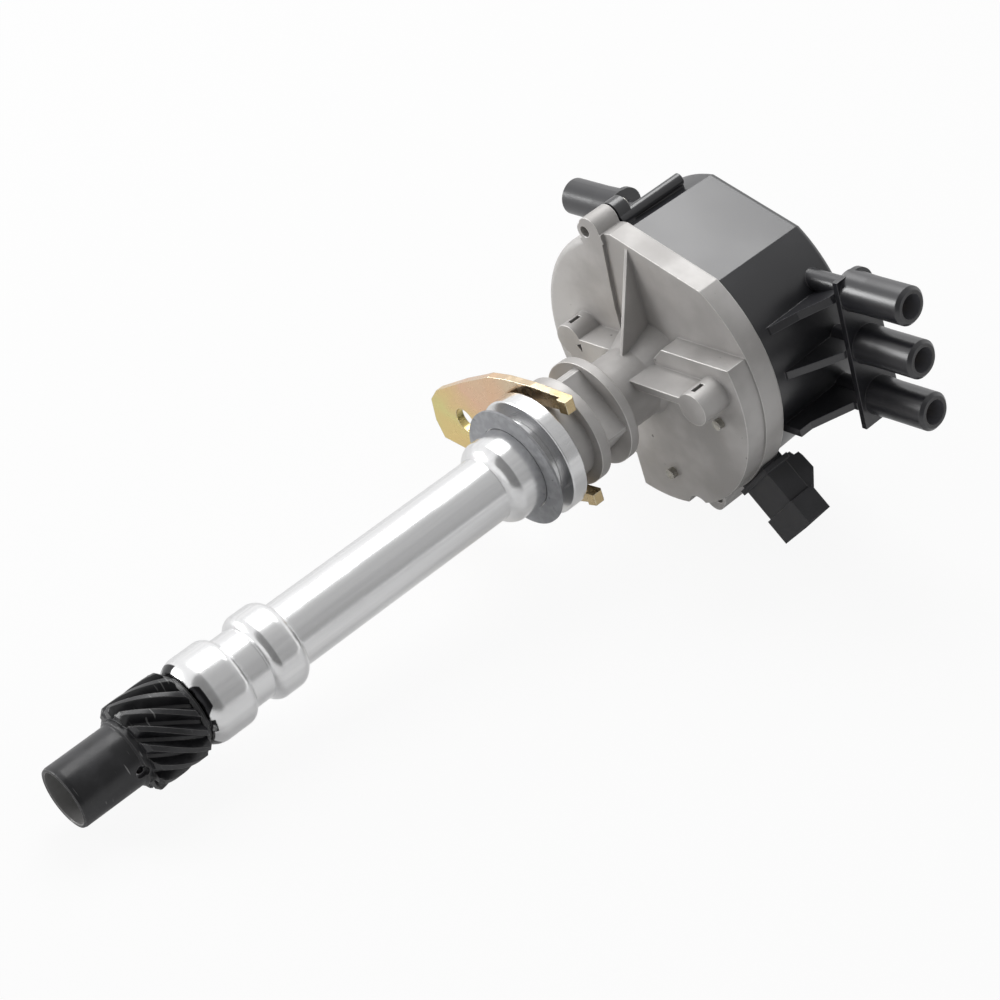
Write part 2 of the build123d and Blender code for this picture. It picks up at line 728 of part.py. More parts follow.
# Rotor moulding, its contact blade and the two screws into the vane wheel
rotor_hub_top = rotor_contact_height
with BuildPart() as rotor:
    with BuildSketch(Plane.XY.offset(vane_disc_top)):
        Circle(rotor_base_radius)
    extrude(amount=rotor_base_thickness)
    with BuildSketch(Plane.XY.offset(rotor_base_top)):
        Circle(rotor_hub_radius)
        Rectangle(rotor_arm_length, rotor_arm_width, align=(Align.MIN, Align.CENTER))
        Rectangle(rotor_tail_length, rotor_tail_width, align=(Align.MAX, Align.CENTER))
    extrude(amount=rotor_hub_top - rotor_base_top)
    with Locations((0, 0, vane_disc_top)):
        Cylinder(shaft_radius, shaft_top - vane_disc_top,
                 align=(Align.CENTER, Align.CENTER, Align.MIN), mode=Mode.SUBTRACT)
    with BuildSketch(Plane.XY.offset(vane_disc_top)):
        with Locations((0, rotor_screw_circle_radius), (0, -rotor_screw_circle_radius)):
            Circle(rotor_screw_radius + 0.2)
    extrude(amount=rotor_base_thickness, mode=Mode.SUBTRACT)
rotor.part.label = "rotor"
export_step(rotor.part, "parts/rotor.step")

rotor_tip_radius = electrode_circle_radius - electrode_radius - rotor_gap
with BuildPart() as rotor_contact:
    with BuildSketch(Plane.XY.offset(rotor_contact_height)):
        Circle(6.0)
        with Locations((rotor_tip_radius / 2, 0)):
            Rectangle(rotor_tip_radius, rotor_contact_width)
        with BuildSketch(mode=Mode.INTERSECT):
            Circle(rotor_tip_radius)
    extrude(amount=rotor_contact_thickness)
rotor_contact.part.label = "rotor_contact"
export_step(rotor_contact.part, "parts/rotor_contact.step")

with BuildPart() as rotor_screws:
    for y in (rotor_screw_circle_radius, -rotor_screw_circle_radius):
        with Locations((0, y, rotor_base_top)):
            Cylinder(rotor_screw_head_radius, rotor_screw_head_height,
                     align=(Align.CENTER, Align.CENTER, Align.MIN))
            Cylinder(rotor_screw_radius, rotor_base_thickness + vane_disc_thickness + rotor_screw_tip,
                     align=(Align.CENTER, Align.CENTER, Align.MAX))
        with Locations((0, y, rotor_base_top + rotor_screw_head_height - screw_slot_width / 2)):
            Box(2 * rotor_screw_head_radius, screw_slot_width, screw_slot_width, mode=Mode.SUBTRACT)
rotor_screws.part.label = "rotor_screws"
export_step(rotor_screws.part, "parts/rotor_screws.step")

# Cam position sensor: foot, slotted head over the vane's path, and the connector
sensor_foot_top = deep_floor_top + sensor_flange_thickness
sensor_top = deep_floor_top + sensor_height
vane_middle_radius = vane_radius - vane_skirt_thickness / 2
slot_inner_radius = vane_radius - vane_skirt_thickness - sensor_slot_clearance
slot_outer_radius = vane_radius + sensor_slot_clearance
slot_bottom = vane_disc_height - vane_skirt_height - sensor_slot_depth
mouth_start = connector_reach - connector_mouth_length
connector_middle = (connector_bottom + connector_top) / 2
mouth_height = connector_height + 2 * connector_mouth_margin
lock_rise = connector_top + lock_height
with BuildPart() as camshaft_sensor:
    with BuildSketch(sensor_plane.offset(deep_floor_top)):
        with Locations(*sensor_screw_places):
            Circle(sensor_foot_radius)
        with Locations((sensor_screw_places[0][0] + sensor_foot_radius * 0.3, 0)):
            Rectangle(sensor_foot_radius * 1.4, 2 * sensor_screw_places[1][1])
    extrude(amount=sensor_flange_thickness)
    with BuildSketch(sensor_plane.offset(deep_floor_top)):
        with Locations((sensor_body_start, 0)):
            Rectangle(sensor_body_length, 2 * connector_half_width - 0.4, align=(Align.MIN, Align.CENTER))
    extrude(amount=sensor_height)
    with BuildSketch(sensor_plane.offset(slot_bottom)):
        Circle(slot_outer_radius)
        Circle(slot_inner_radius, mode=Mode.SUBTRACT)
    extrude(amount=sensor_height, mode=Mode.SUBTRACT)
    with BuildSketch(sensor_plane.offset(connector_bottom)):
        with Locations(((connector_root + mouth_start) / 2, 0)):
            Rectangle(mouth_start - connector_root, 2 * connector_half_width - 0.3)
    extrude(amount=connector_height)
    with Locations(sensor_plane * Pos(face_plate_reach, 0, connector_middle + 0.1)):
        Box(face_plate_thickness, 2 * (connector_half_width + face_plate_margin),
            connector_height + 2 * face_plate_margin - 0.4)
    with Locations(sensor_plane * Pos((mouth_start + connector_reach) / 2, 0, connector_middle)):
        Box(connector_mouth_length, 2 * connector_mouth_half_width, mouth_height)
    with BuildSketch(Plane(origin=(0, 0, 0), x_dir=(*at_angle(1, sensor_angle), 0),
                           z_dir=(*at_angle(1, sensor_angle - 90), 0)).offset(-lock_half_width)):
        with BuildLine():
            Polyline((lock_start, connector_top - 1), (lock_start, connector_top + lock_height / 2),
                     (lock_start + 1.9, connector_top + lock_height / 2 + 0.7),
                     (lock_start + 2.0, lock_rise - 0.8), (lock_start + 3.9, lock_rise - 0.3),
                     (lock_start + 9.7, lock_rise), (lock_end, connector_top + 1.2),
                     (lock_end, connector_top - 1), close=True)
        make_face()
    extrude(amount=2 * lock_half_width)
    with Locations(sensor_plane * Pos(mouth_start + connector_mouth_length / 2, 0, connector_middle)):
        Box(connector_mouth_length, 2 * (connector_mouth_half_width - connector_wall),
            mouth_height - 2 * connector_wall, mode=Mode.SUBTRACT)
    with Locations(sensor_plane * Pos((connector_back + mouth_start) / 2, 0, connector_middle)):
        Box(mouth_start - connector_back, 2 * (connector_half_width - connector_wall),
            connector_height - 2 * connector_wall, mode=Mode.SUBTRACT)
    for y in (-terminal_pitch, 0, terminal_pitch):
        with Locations(sensor_plane * Pos(connector_back, y, connector_middle - terminal_drop)):
            Box(2 * terminal_root, terminal_width, terminal_thickness, mode=Mode.SUBTRACT)
    for x, y in sensor_screw_places:
        with Locations(sensor_plane * Pos(x, y, deep_floor_top)):
            Cylinder(sensor_screw_radius + 0.2, sensor_flange_thickness,
                     align=(Align.CENTER, Align.CENTER, Align.MIN), mode=Mode.SUBTRACT)
camshaft_sensor.part.label = "camshaft_sensor"
export_step(camshaft_sensor.part, "parts/camshaft_sensor.step")

with BuildPart() as sensor_terminals:
    for y in (-terminal_pitch, 0, terminal_pitch):
        with Locations(sensor_plane * Pos(connector_back - terminal_root, y, connector_middle - terminal_drop)):
            Box(terminal_length, terminal_width, terminal_thickness, align=(Align.MIN, Align.CENTER, Align.CENTER))
sensor_terminals.part.label = "sensor_terminals"
export_step(sensor_terminals.part, "parts/sensor_terminals.step")

with BuildPart() as sensor_screws:
    for x, y in sensor_screw_places:
        with Locations(sensor_plane * Pos(x, y, sensor_foot_top)):
            Cylinder(sensor_screw_head_radius, sensor_screw_head_height,
                     align=(Align.CENTER, Align.CENTER, Align.MIN))
            Cylinder(sensor_screw_radius, sensor_foot_top - deep_floor_height + sensor_screw_tip,
                     align=(Align.CENTER, Align.CENTER, Align.MAX))
sensor_screws.part.label = "sensor_screws"
export_step(sensor_screws.part, "parts/sensor_screws.step")

# Perforated screens pressed into the two breathers
with BuildPart() as breather_screens:
    for x, y, top in (
        (right_breather_x, right_breather_y, deep_floor_top),
        (left_breather_x, left_breather_y, shallow_floor_top),
    ):
        with BuildSketch(Plane.XY.offset(top - 2.0)):
            with Locations((x, y)):
                Circle(breather_bore_radius)
                with PolarLocations(2.2, 6):
                    Circle(0.6, mode=Mode.SUBTRACT)
                Circle(0.6, mode=Mode.SUBTRACT)
        extrude(amount=1.2)
breather_screens.part.label = "breather_screens"
export_step(breather_screens.part, "parts/breather_screens.step")

# Loose gasket ring on the shoulder under the flange
with BuildPart() as flange_gasket:
    with BuildSketch(Plane.XY.offset(gasket_height)):
        Circle(gasket_radius)
        Circle(shoulder_radius + gasket_clearance, mode=Mode.SUBTRACT)
    extrude(amount=gasket_thickness)
flange_gasket.part.label = "flange_gasket"
export_step(flange_gasket.part, "parts/flange_gasket.step")

# Forked hold-down clamp, bent up along its arms
clamp_bottom = flange_thickness + clamp_lift
clamp_slot_radius = groove_radius + clamp_clearance
with BuildPart() as hold_down_clamp:
    with BuildSketch(Plane.XZ.offset(-2 * clamp_arm_half_width)):
        with BuildLine():
            Polyline(
                (-clamp_pad_reach - 5, clamp_bottom), (clamp_bend_x, clamp_bottom),
                (clamp_tip_reach - clamp_tip_thickness, clamp_bottom + clamp_rise),
                (clamp_tip_reach - clamp_tip_thickness, clamp_bottom + clamp_rise - clamp_tip_drop),
                (clamp_tip_reach, clamp_bottom + clamp_rise - clamp_tip_drop + 0.3),
                (clamp_tip_reach, clamp_bottom + clamp_rise + clamp_thickness - 0.8),
                (clamp_tip_reach - 1.0, clamp_bottom + clamp_rise + clamp_thickness),
                (clamp_bend_x, clamp_bottom + clamp_thickness), (-clamp_pad_reach - 5, clamp_bottom + clamp_thickness),
                close=True,
            )
        make_face()
    extrude(amount=4 * clamp_arm_half_width)
    with BuildSketch():
        with BuildLine():
            Polyline((-clamp_pad_reach, clamp_pad_back - 8.8), (-clamp_pad_reach + 1.4, -clamp_pad_front + 5.3),
                     (-clamp_pad_reach + 6.7, -clamp_pad_front), (-clamp_waist_reach, -clamp_waist_front),
                     (-groove_radius - 4.4, -clamp_arm_half_width + 0.8), (-12.0, -clamp_arm_half_width),
                     (0.0, -clamp_arm_half_width + 0.4),
                     (clamp_tip_reach, -clamp_arm_half_width + clamp_front_tip_taper),
                     (clamp_tip_reach, clamp_arm_half_width - clamp_back_tip_taper),
                     (0.0, clamp_arm_half_width - 0.4), (-12.0, clamp_arm_half_width),
                     (-groove_radius - 4.4, clamp_arm_half_width - 0.8), (-clamp_waist_reach, clamp_waist_back),
                     (-clamp_pad_reach + 12.6, clamp_pad_back), (-clamp_pad_reach + 2.0, clamp_pad_back - 1.3),
                     close=True)
        make_face()
        Circle(clamp_slot_radius, mode=Mode.SUBTRACT)
        with Locations((clamp_tip_reach, 0)):
            Rectangle(2 * clamp_tip_reach, 2 * clamp_slot_radius, mode=Mode.SUBTRACT)
        with Locations((-clamp_hole_distance, clamp_hole_offset)):
            Circle(clamp_hole_radius, mode=Mode.SUBTRACT)
    extrude(amount=2 * groove_top, mode=Mode.INTERSECT)
hold_down_clamp.part.label = "hold_down_clamp"
export_step(hold_down_clamp.part, "parts/hold_down_clamp.step")

# High-voltage inserts, from the rotor's circle out to the towers
tower_rows = (
    (1, right_tower_height, right_tower_pitch, right_plate_drop, right_web_drop),
    (-1, left_tower_height, left_tower_pitch, left_plate_drop, left_web_drop),
)
stud_start = tower_reach - socket_depth
with BuildPart() as right_terminals:
    for electrode_angle, tower_y in ((-60, -right_tower_pitch), (0, 0), (60, right_tower_pitch)):
        x, y = at_angle(electrode_circle_radius, electrode_angle)
        with Locations((x, y, electrode_bottom)):
            Cylinder(electrode_radius, electrode_length,
                     align=(Align.CENTER, Align.CENTER, Align.MIN))
        rod_start = (x, y, right_tower_height)
        rod_finish = (conductor_bend, tower_y, right_tower_height)
        with BuildSketch(rod_plane(rod_start, rod_finish)):
            Circle(conductor_radius)
        extrude(amount=rod_length(rod_start, rod_finish))
        with Locations(rod_finish):
            Sphere(conductor_radius)
        with BuildSketch(side_plane(1, conductor_bend)):
            with Locations((tower_y, right_tower_height)):
                Circle(conductor_radius)
        extrude(amount=stud_start - conductor_bend)
        with BuildSketch(side_plane(1, stud_start - 1.0)):
            with Locations((tower_y, right_tower_height)):
                Circle(stud_radius)
        extrude(amount=stud_length + 1.0)
right_terminals.part.label = "right_terminals"
export_step(right_terminals.part, "parts/right_terminals.step")

with BuildPart() as left_terminals:
    for electrode_angle, tower_y in ((240, -left_tower_pitch), (180, 0), (120, left_tower_pitch)):
        x, y = at_angle(electrode_circle_radius, electrode_angle)
        with Locations((x, y, electrode_bottom)):
            Cylinder(electrode_radius, electrode_length,
                     align=(Align.CENTER, Align.CENTER, Align.MIN))
        rod_start = (x, y, right_tower_height)
        rod_finish = (-conductor_bend, tower_y, left_tower_height)
        with BuildSketch(rod_plane(rod_start, rod_finish)):
            Circle(conductor_radius)
        extrude(amount=rod_length(rod_start, rod_finish))
        with Locations(rod_finish):
            Sphere(conductor_radius)
        with BuildSketch(side_plane(-1, conductor_bend)):
            with Locations((-tower_y, left_tower_height)):
                Circle(conductor_radius)
        extrude(amount=stud_start - conductor_bend)
        with BuildSketch(side_plane(-1, stud_start - 1.0)):
            with Locations((-tower_y, left_tower_height)):
                Circle(stud_radius)
        extrude(amount=stud_length + 1.0)
left_terminals.part.label = "left_terminals"
export_step(left_terminals.part, "parts/left_terminals.step")

# Middle contact: carbon button, spring and coil terminal
spring_bottom = button_bottom + button_length
coil_terminal_bottom = spring_bottom + spring_length
with BuildPart() as contact_button:
    revolve(turned_outline([
        (0, button_bottom), (button_radius - 1.2, button_bottom), (button_radius, button_bottom + 1.2),
        (button_radius, spring_bottom), (0, spring_bottom),
    ]), axis=Axis.Z)
contact_button.part.label = "contact_button"
export_step(contact_button.part, "parts/contact_button.step")

spring_turns = 4
turn_steps = 12
spring_radius = button_radius - spring_wire
spring_travel = spring_length - spring_wire * 1.1
spring_points = [
    (*at_angle(spring_radius, 360 * step / turn_steps),
     spring_bottom + spring_wire * 0.55 + spring_travel * step / (spring_turns * turn_steps))
    for step in range(spring_turns * turn_steps + 1)
]
with BuildPart() as button_spring:
    with BuildLine() as spring_path:
        Polyline(*spring_points)
    with BuildSketch(Plane(origin=spring_path.line @ 0, z_dir=spring_path.line % 0)):
        RegularPolygon(spring_wire / 2, 6)
    sweep(transition=Transition.RIGHT)
button_spring.part.label = "button_spring"
export_step(button_spring.part, "parts/button_spring.step")

coil_socket_bottom = coil_tower_top - socket_depth
with BuildPart() as coil_terminal:
    with Locations((0, 0, coil_terminal_bottom)):
        Cylinder(button_radius + 0.1, 2.0, align=(Align.CENTER, Align.CENTER, Align.MIN))
        Cylinder(stud_radius, coil_socket_bottom + stud_length - coil_terminal_bottom,
                 align=(Align.CENTER, Align.CENTER, Align.MIN))
coil_terminal.part.label = "coil_terminal"
export_step(coil_terminal.part, "parts/coil_terminal.step")

# Seal at the parting plane
with BuildPart() as cap_seal:
    with BuildSketch(Plane.XY.offset(parting_height)):
        add(flatted_disc(seal_radius, seal_radius - cap_radius + cap_flat_distance))
        add(flatted_disc(cap_radius - cap_wall, cap_flat_distance - cap_wall), mode=Mode.SUBTRACT)
    extrude(amount=seal_thickness)
    with Locations(sensor_plane * Pos(notch_middle, 0, parting_height + seal_thickness / 2)):
        Box(notch_length, 2 * connector_half_width, seal_thickness, mode=Mode.SUBTRACT)
cap_seal.part.label = "cap_seal"
export_step(cap_seal.part, "parts/cap_seal.step")

# Cap moulding
cap_lug_top = cap_bottom + cap_lug_height


def drafted_wall(reach):
    """The drum's wall at a reach from the axis: foot, then start, middle and end of the top round."""
    upper = reach - (cap_height - cap_top_round) * tan(radians(cap_draft))
    corner = cap_top_round * (1 - sin(pi / 4))
    return (
        (reach, cap_bottom),
        (upper, cap_top - cap_top_round),
        (upper - corner, cap_top - corner),
        (upper - cap_top_round, cap_top),
    )


with BuildPart() as cap:
    foot, round_start, round_middle, round_end = drafted_wall(cap_radius)
    with BuildSketch(Plane.XZ):
        with BuildLine():
            Polyline(round_end, (0, cap_top), (0, cap_bottom), foot, round_start)
            ThreePointArc(round_start, round_middle, round_end)
        make_face()
    revolve(axis=Axis.Z)
    foot, round_start, round_middle, round_end = drafted_wall(cap_flat_distance)
    with BuildSketch(Plane(origin=(0, 0, 0), x_dir=(*at_angle(1, rim_flat_angle), 0),
                           z_dir=(*at_angle(1, rim_flat_angle - 90), 0))):
        with BuildLine():
            Polyline(round_end, (round_end[0], cap_top + 1), (2 * cap_radius, cap_top + 1),
                     (2 * cap_radius, cap_bottom), foot, round_start)
            ThreePointArc(round_start, round_middle, round_end)
        make_face()
    extrude(amount=cap_radius, both=True, mode=Mode.SUBTRACT)
    with BuildSketch(Plane.XY.offset(cap_bottom)):
        add(lug_outline)
    extrude(amount=cap_lug_height)
    with BuildSketch(Plane.XY.offset(cap_bottom)):
        with Locations(at_angle(bead_circle_radius, bead_angle)):
            Circle(bead_radius)
        with Locations(Rot(0, 0, bead_angle) * Pos((cap_radius + bead_circle_radius) / 2 - 3, 0)):
            Rectangle(bead_circle_radius - cap_radius + 6, bead_web_thickness)
    extrude(amount=bead_height)

    for side, height, pitch, plate_drop, web_drop in tower_rows:
        root_start = conductor_bend if side > 0 else left_conduit_reach
        plate_bottom = height - plate_drop
        front = -side * (pitch + plate_front_margin)
        back = side * (pitch + plate_back_margin)
        with BuildSketch(side_plane(side, root_start)):
            with Locations((-pitch, height), (0, height), (pitch, height)):
                Circle(tower_stub_radius)
        extrude(amount=plate_distance - root_start)
        with BuildSketch(side_plane(side, plate_distance)) as collar_plate:
            with BuildLine():
                Polyline((front, plate_bottom), (back, plate_bottom - plate_slope),
                         (back, height + plate_rise), (front, height + plate_rise), close=True)
            make_face()
            fillet(collar_plate.vertices().group_by(Axis.Y)[-1], plate_corner)
        extrude(amount=plate_thickness)
        with BuildSketch(side_plane(side, plate_distance)):
            with Locations((-pitch, height), (0, height), (pitch, height)):
                Circle(tower_root_radius)
        extrude(amount=tower_reach - tower_seat_length - plate_distance, taper=tower_draft)
        with BuildSketch(side_plane(side, tower_reach - tower_seat_length)):
            with Locations((-pitch, height), (0, height), (pitch, height)):
                Circle(tower_radius)
        extrude(amount=tower_seat_length - tower_end_chamfer)
        with BuildSketch(side_plane(side, tower_reach - tower_end_chamfer)):
            with Locations((-pitch, height), (0, height), (pitch, height)):
                Circle(tower_radius)
        extrude(amount=tower_end_chamfer, taper=45)

        # Two webs under the row, fanned out from the shaft's axis, and a straight one under the back tower
        web_foot = cap_bottom + cap_web_rise
        web_root = cap_radius - cap_web_bite
        web_end = plate_bottom - web_drop
        web_knee = web_end - web_knee_drop
        for web_angle in (-side * cap_web_spread, 0):
            outer = plate_distance / cos(radians(web_angle))
            with BuildSketch(Plane(origin=(0, 0, 0), x_dir=(side * cos(radians(web_angle)),
                             side * sin(radians(web_angle)), 0),
                             z_dir=(*at_angle(side, web_angle - 90), 0)).offset(-cap_web_thickness / 2)):
                with BuildLine():
                    Polyline((web_root, web_foot), (cap_radius + 0.6, web_foot + (web_knee - web_foot) / 4),
                             (cap_radius + web_knee_reach, web_knee), (outer, web_end),
                             (outer, height), (web_root, height), close=True)
                make_face()
            extrude(amount=cap_web_thickness)
        back_root = web_root - cap_web_bite
        back_end = plate_bottom - plate_slope
        with BuildSketch(Plane(origin=(0, pitch, 0), x_dir=(side, 0, 0), z_dir=(0, -side, 0))
                         .offset(-cap_web_thickness / 2)):
            with BuildLine():
                Polyline((back_root, web_foot), (cap_radius + back_web_reach, web_foot),
                         (cap_radius + back_web_reach, web_foot + back_web_flank),
                         (cap_radius + web_knee_reach, back_end - web_knee_drop),
                         (plate_distance - 1.5, back_end), (plate_distance, back_end),
                         (plate_distance, height), (back_root, height), close=True)
            make_face()
        extrude(amount=cap_web_thickness)
    for y in (-left_tower_pitch, 0, left_tower_pitch):
        with Locations((-left_conduit_reach, y, left_tower_height)):
            Sphere(tower_stub_radius)
    with BuildSketch(Plane.XY.offset(cap_top - 2.0)):
        Circle(tower_root_radius)
    extrude(amount=coil_tower_height + 2.0 - tower_seat_length)
    with BuildSketch(Plane.XY.offset(coil_tower_top - tower_seat_length)):
        Circle(tower_radius)
    extrude(amount=tower_seat_length - tower_end_chamfer)
    with BuildSketch(Plane.XY.offset(coil_tower_top - tower_end_chamfer)):
        Circle(tower_radius)
    extrude(amount=tower_end_chamfer, taper=45)

    # Hollow, with a boss round each insert
    with BuildSketch(Plane.XY.offset(cap_bottom)):
        add(flatted_disc(cap_radius - cap_wall, cap_flat_distance - cap_wall))
    extrude(amount=cap_ceiling - cap_bottom, taper=cap_draft, mode=Mode.SUBTRACT)
    with BuildSketch(Plane.XY.offset(cap_ceiling - 5.0)):
        with PolarLocations(electrode_circle_radius, 6):
            Circle(electrode_boss_radius)
        Circle(6.5)
    extrude(amount=6.0)
    with Locations((0, 0, cap_ceiling - 6.0)):
        Cylinder(button_radius + 0.1, coil_terminal_bottom + 2.0 - cap_ceiling + 6.0,
                 align=(Align.CENTER, Align.CENTER, Align.MIN), mode=Mode.SUBTRACT)
    with Locations((0, 0, coil_terminal_bottom)):
        Cylinder(stud_radius, cap_top - coil_terminal_bottom + 10,
                 align=(Align.CENTER, Align.CENTER, Align.MIN), mode=Mode.SUBTRACT)
    with Locations((0, 0, coil_socket_bottom)):
        Cylinder(socket_radius, socket_depth,
                 align=(Align.CENTER, Align.CENTER, Align.MIN), mode=Mode.SUBTRACT)
    with Locations((0, 0, coil_tower_top - socket_mouth_depth)):
        Cylinder(socket_mouth_radius, socket_mouth_depth,
                 align=(Align.CENTER, Align.CENTER, Align.MIN), mode=Mode.SUBTRACT)
    for side, height, pitch, plate_drop, web_drop in tower_rows:
        with BuildSketch(side_plane(side, stud_start)):
            with Locations((-pitch, height), (0, height), (pitch, height)):
                Circle(socket_radius)
        extrude(amount=socket_depth, mode=Mode.SUBTRACT)
        with BuildSketch(side_plane(side, tower_reach - socket_mouth_depth)):
            with Locations((-pitch, height), (0, height), (pitch, height)):
                Circle(socket_mouth_radius)
        extrude(amount=socket_mouth_depth, mode=Mode.SUBTRACT)
    add(right_terminals.part, mode=Mode.SUBTRACT)
    add(left_terminals.part, mode=Mode.SUBTRACT)
    for x, y in cap_screw_places:
        with Locations((x, y, cap_bottom)):
            Cylinder(cap_screw_radius + 0.25, cap_lug_height + 1,
                     align=(Align.CENTER, Align.CENTER, Align.MIN), mode=Mode.SUBTRACT)
    with Locations(sensor_plane * Pos(notch_middle, 0, (cap_bottom + connector_top) / 2)):
        Box(notch_length, 2 * connector_half_width, connector_top - cap_bottom + 0.2, mode=Mode.SUBTRACT)
cap.part.label = "cap"
export_step(cap.part, "parts/cap.step")

with BuildPart() as cap_screws:
    for x, y in cap_screw_places:
        with Locations((x, y, cap_lug_top)):
            Cylinder(cap_screw_head_radius, cap_screw_head_height,
                     align=(Align.CENTER, Align.CENTER, Align.MIN))
            Cylinder(cap_screw_radius, cap_lug_top - lug_foot_height - 3.0,
                     align=(Align.CENTER, Align.CENTER, Align.MAX))
cap_screws.part.label = "cap_screws"
export_step(cap_screws.part, "parts/cap_screws.step")
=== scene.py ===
import bpy
import json
import math
from mathutils import Matrix, Vector


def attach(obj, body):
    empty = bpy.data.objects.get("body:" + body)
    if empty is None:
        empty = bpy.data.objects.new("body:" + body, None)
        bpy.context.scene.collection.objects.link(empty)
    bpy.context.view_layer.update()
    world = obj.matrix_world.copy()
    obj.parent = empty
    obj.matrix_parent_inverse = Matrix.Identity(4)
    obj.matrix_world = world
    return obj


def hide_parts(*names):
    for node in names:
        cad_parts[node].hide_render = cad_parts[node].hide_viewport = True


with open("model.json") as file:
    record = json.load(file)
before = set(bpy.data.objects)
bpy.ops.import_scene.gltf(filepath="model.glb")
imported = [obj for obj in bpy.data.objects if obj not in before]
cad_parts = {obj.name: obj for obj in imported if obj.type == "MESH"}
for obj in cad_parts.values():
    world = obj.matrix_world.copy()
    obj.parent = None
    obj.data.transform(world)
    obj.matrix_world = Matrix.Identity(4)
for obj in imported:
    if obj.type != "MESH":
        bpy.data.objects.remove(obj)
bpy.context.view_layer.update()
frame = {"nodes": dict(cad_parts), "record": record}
MM = 0.001
MM_PER_METRE = 1000.0

# Camera, in mm: below the gear end, as the photograph looks at the distributor
CAMERA_PLACE = (694.8, -501.1, -443.9)
CAMERA_RIGHT = (0.6395, 0.2682, 0.7205)
CAMERA_UP = (-0.2618, -0.8052, 0.5321)
CAMERA_BACK = (0.7228, -0.5290, -0.4447)
CAMERA_LENS = 99.13
CAMERA_SENSOR = 36.0
# Nearest and farthest that it sees, in metres
CAMERA_CLIP = (0.05, 30.0)

# Floor: the distributor lies on its rim and its gear, so the floor is turned with it
FLOOR_UP = Vector((0.219, -0.961, 0.167)).normalized()
# Its distance below the origin of the frame, in mm
FLOOR_DROP = 50.0
FLOOR_COLOUR = (0.86, 0.86, 0.86)
# How much of it shines by itself for the camera, and how much in the metal's reflections
FLOOR_GLOW = 0.92
FLOOR_GLOW_IN_METAL = 0.20
# Half of its width in metres, and its corners round the middle
FLOOR_REACH = 3.0
FLOOR_CORNERS = ((-1, -1), (1, -1), (1, 1), (-1, 1))

# Light: the level of the soft grey all round, and what the lamps look at, in metres
WORLD_LEVEL = 0.42
WHITE = (1.0, 1.0, 1.0)
LAMP_AIM = (0.0, 0.0, -0.04)
# Name, direction from the distributor, distance and size in metres, watts
LAMPS = (
    ("key_softbox", (-0.256, -0.859, 0.445), 1.2, 0.72, 7.4),
    ("left_softbox", (-0.62, -0.50, -0.60), 1.2, 0.45, 5.5),
)

# Cards that only mirrors see: name, angles about the axis in degrees, heights and radius in metres,
# first and last level
CARDS = (
    ("grey_wall", (-85.0, 14.0), (0.12, 1.40), 1.0, (0.58, 0.38)),
    ("dark_wall", (-85.0, 14.0), (-1.40, 0.12), 1.0, (0.26, 0.18)),
)
CARD_COLUMNS = 24
# Where the level stops changing along Y, as a share of the radius
CARD_LEVEL_END = 0.2

# Edges: how like the rounded and the flat normal are where wear begins and where it is full, and how
# open a corner is from an inner to an outer one
EDGE_SAMPLES = 6
WEAR_LIKENESS = (0.985, 0.88)
OUTER_OPENNESS = (0.78, 0.97)
# Hollow corners get painted shade this many edge widths away
HOLLOW_REACH = 4.0

# Pits of a finish: their brightness beside its colour
PIT_BRIGHTNESS = 0.35

# Housing: turned metal up to this height in mm, cast metal above it, and how soft the change is
TURNED_TOP = 6.55
TURNED_BLUR = 0.05
TURNED_COLOUR = (0.84, 0.84, 0.845)
TURNED_ROUGHNESS = (0.20, 0.26)
DING_COLOUR = (0.50, 0.50, 0.51)
# Streaks along the stem: cycles per mm each way, noise where they begin and are full, and their strength
STREAK_SCALE = (0.55, 0.55, 0.012)
STREAK_RANGE = (0.35, 0.75)
STREAK_SHARE = 0.55
STREAK_COLOUR = (0.72, 0.72, 0.725)
# Dark patches on the nose of the collar beside the gear: their top and the height over which they fade in,
# in mm
NOSE_DARK_TOP = -152.4
NOSE_DARK_FADE = 0.3
NOSE_DARK_COLOUR = (0.03, 0.03, 0.032)
CAST_METALLIC = 0.75
CAST_COLOURS = ((0.46, 0.447, 0.437), (0.58, 0.568, 0.558))
CAST_ROUGHNESS = (0.68, 0.60)
CAST_PIT_COLOUR = (0.24, 0.235, 0.23)
# Painted shade in the casting's hollow corners
CAST_HOLLOW_SHADE_COLOUR = (0.30, 0.29, 0.285)
CAST_EDGE_COLOUR = (0.80, 0.79, 0.77)
CAST_EDGE_ROUGHNESS = 0.42

# Neck between the two discs: a square block whose corners nearly reach the discs' rims, in mm and degrees
BLOCK_HALF_WIDTH = 14.1
BLOCK_CORNER_RADIUS = 19.2
BLOCK_TURN = 3.0
BLOCK_BOTTOM = 20.1
BLOCK_TOP = 30.6

# Clamp: half of the width that the zinc's bands cross, how far noise bends them, and where its gold arms
# and their tips begin along X and how softly, in mm
BAND_REACH = 26.0
BAND_SWING = 0.7
BAND_DRIFT_SCALE = 0.045
BAND_DRIFT_DETAIL = 2.0
ARMS_START = -22.0
ARMS_FADE = 14.0
ARMS_COLOUR = (0.69, 0.56, 0.40)
TIPS_START = 6.0
TIPS_FADE = 6.0
TIPS_COLOUR = (0.60, 0.47, 0.27)
ZINC_EDGE_COLOUR = (0.84, 0.79, 0.62)
ZINC_ROUGHNESS = (0.20, 0.32)
# Colours of the bands from the clamp's -Y side to its +Y side
ZINC_BANDS = (
    (0.00, (0.76, 0.54, 0.36)),
    (0.24, (0.79, 0.52, 0.35)),
    (0.42, (0.77, 0.57, 0.28)),
    (0.58, (0.72, 0.64, 0.27)),
    (0.78, (0.78, 0.59, 0.25)),
    (1.00, (0.58, 0.42, 0.26)),
)

# Cap towers, in mm: end face, pitch and height of the towers on either side
TOWER_END = 91.0
RIGHT_PITCH = 21.8
RIGHT_HEIGHT = 107.6
LEFT_PITCH = 22.9
LEFT_HEIGHT = 115.4
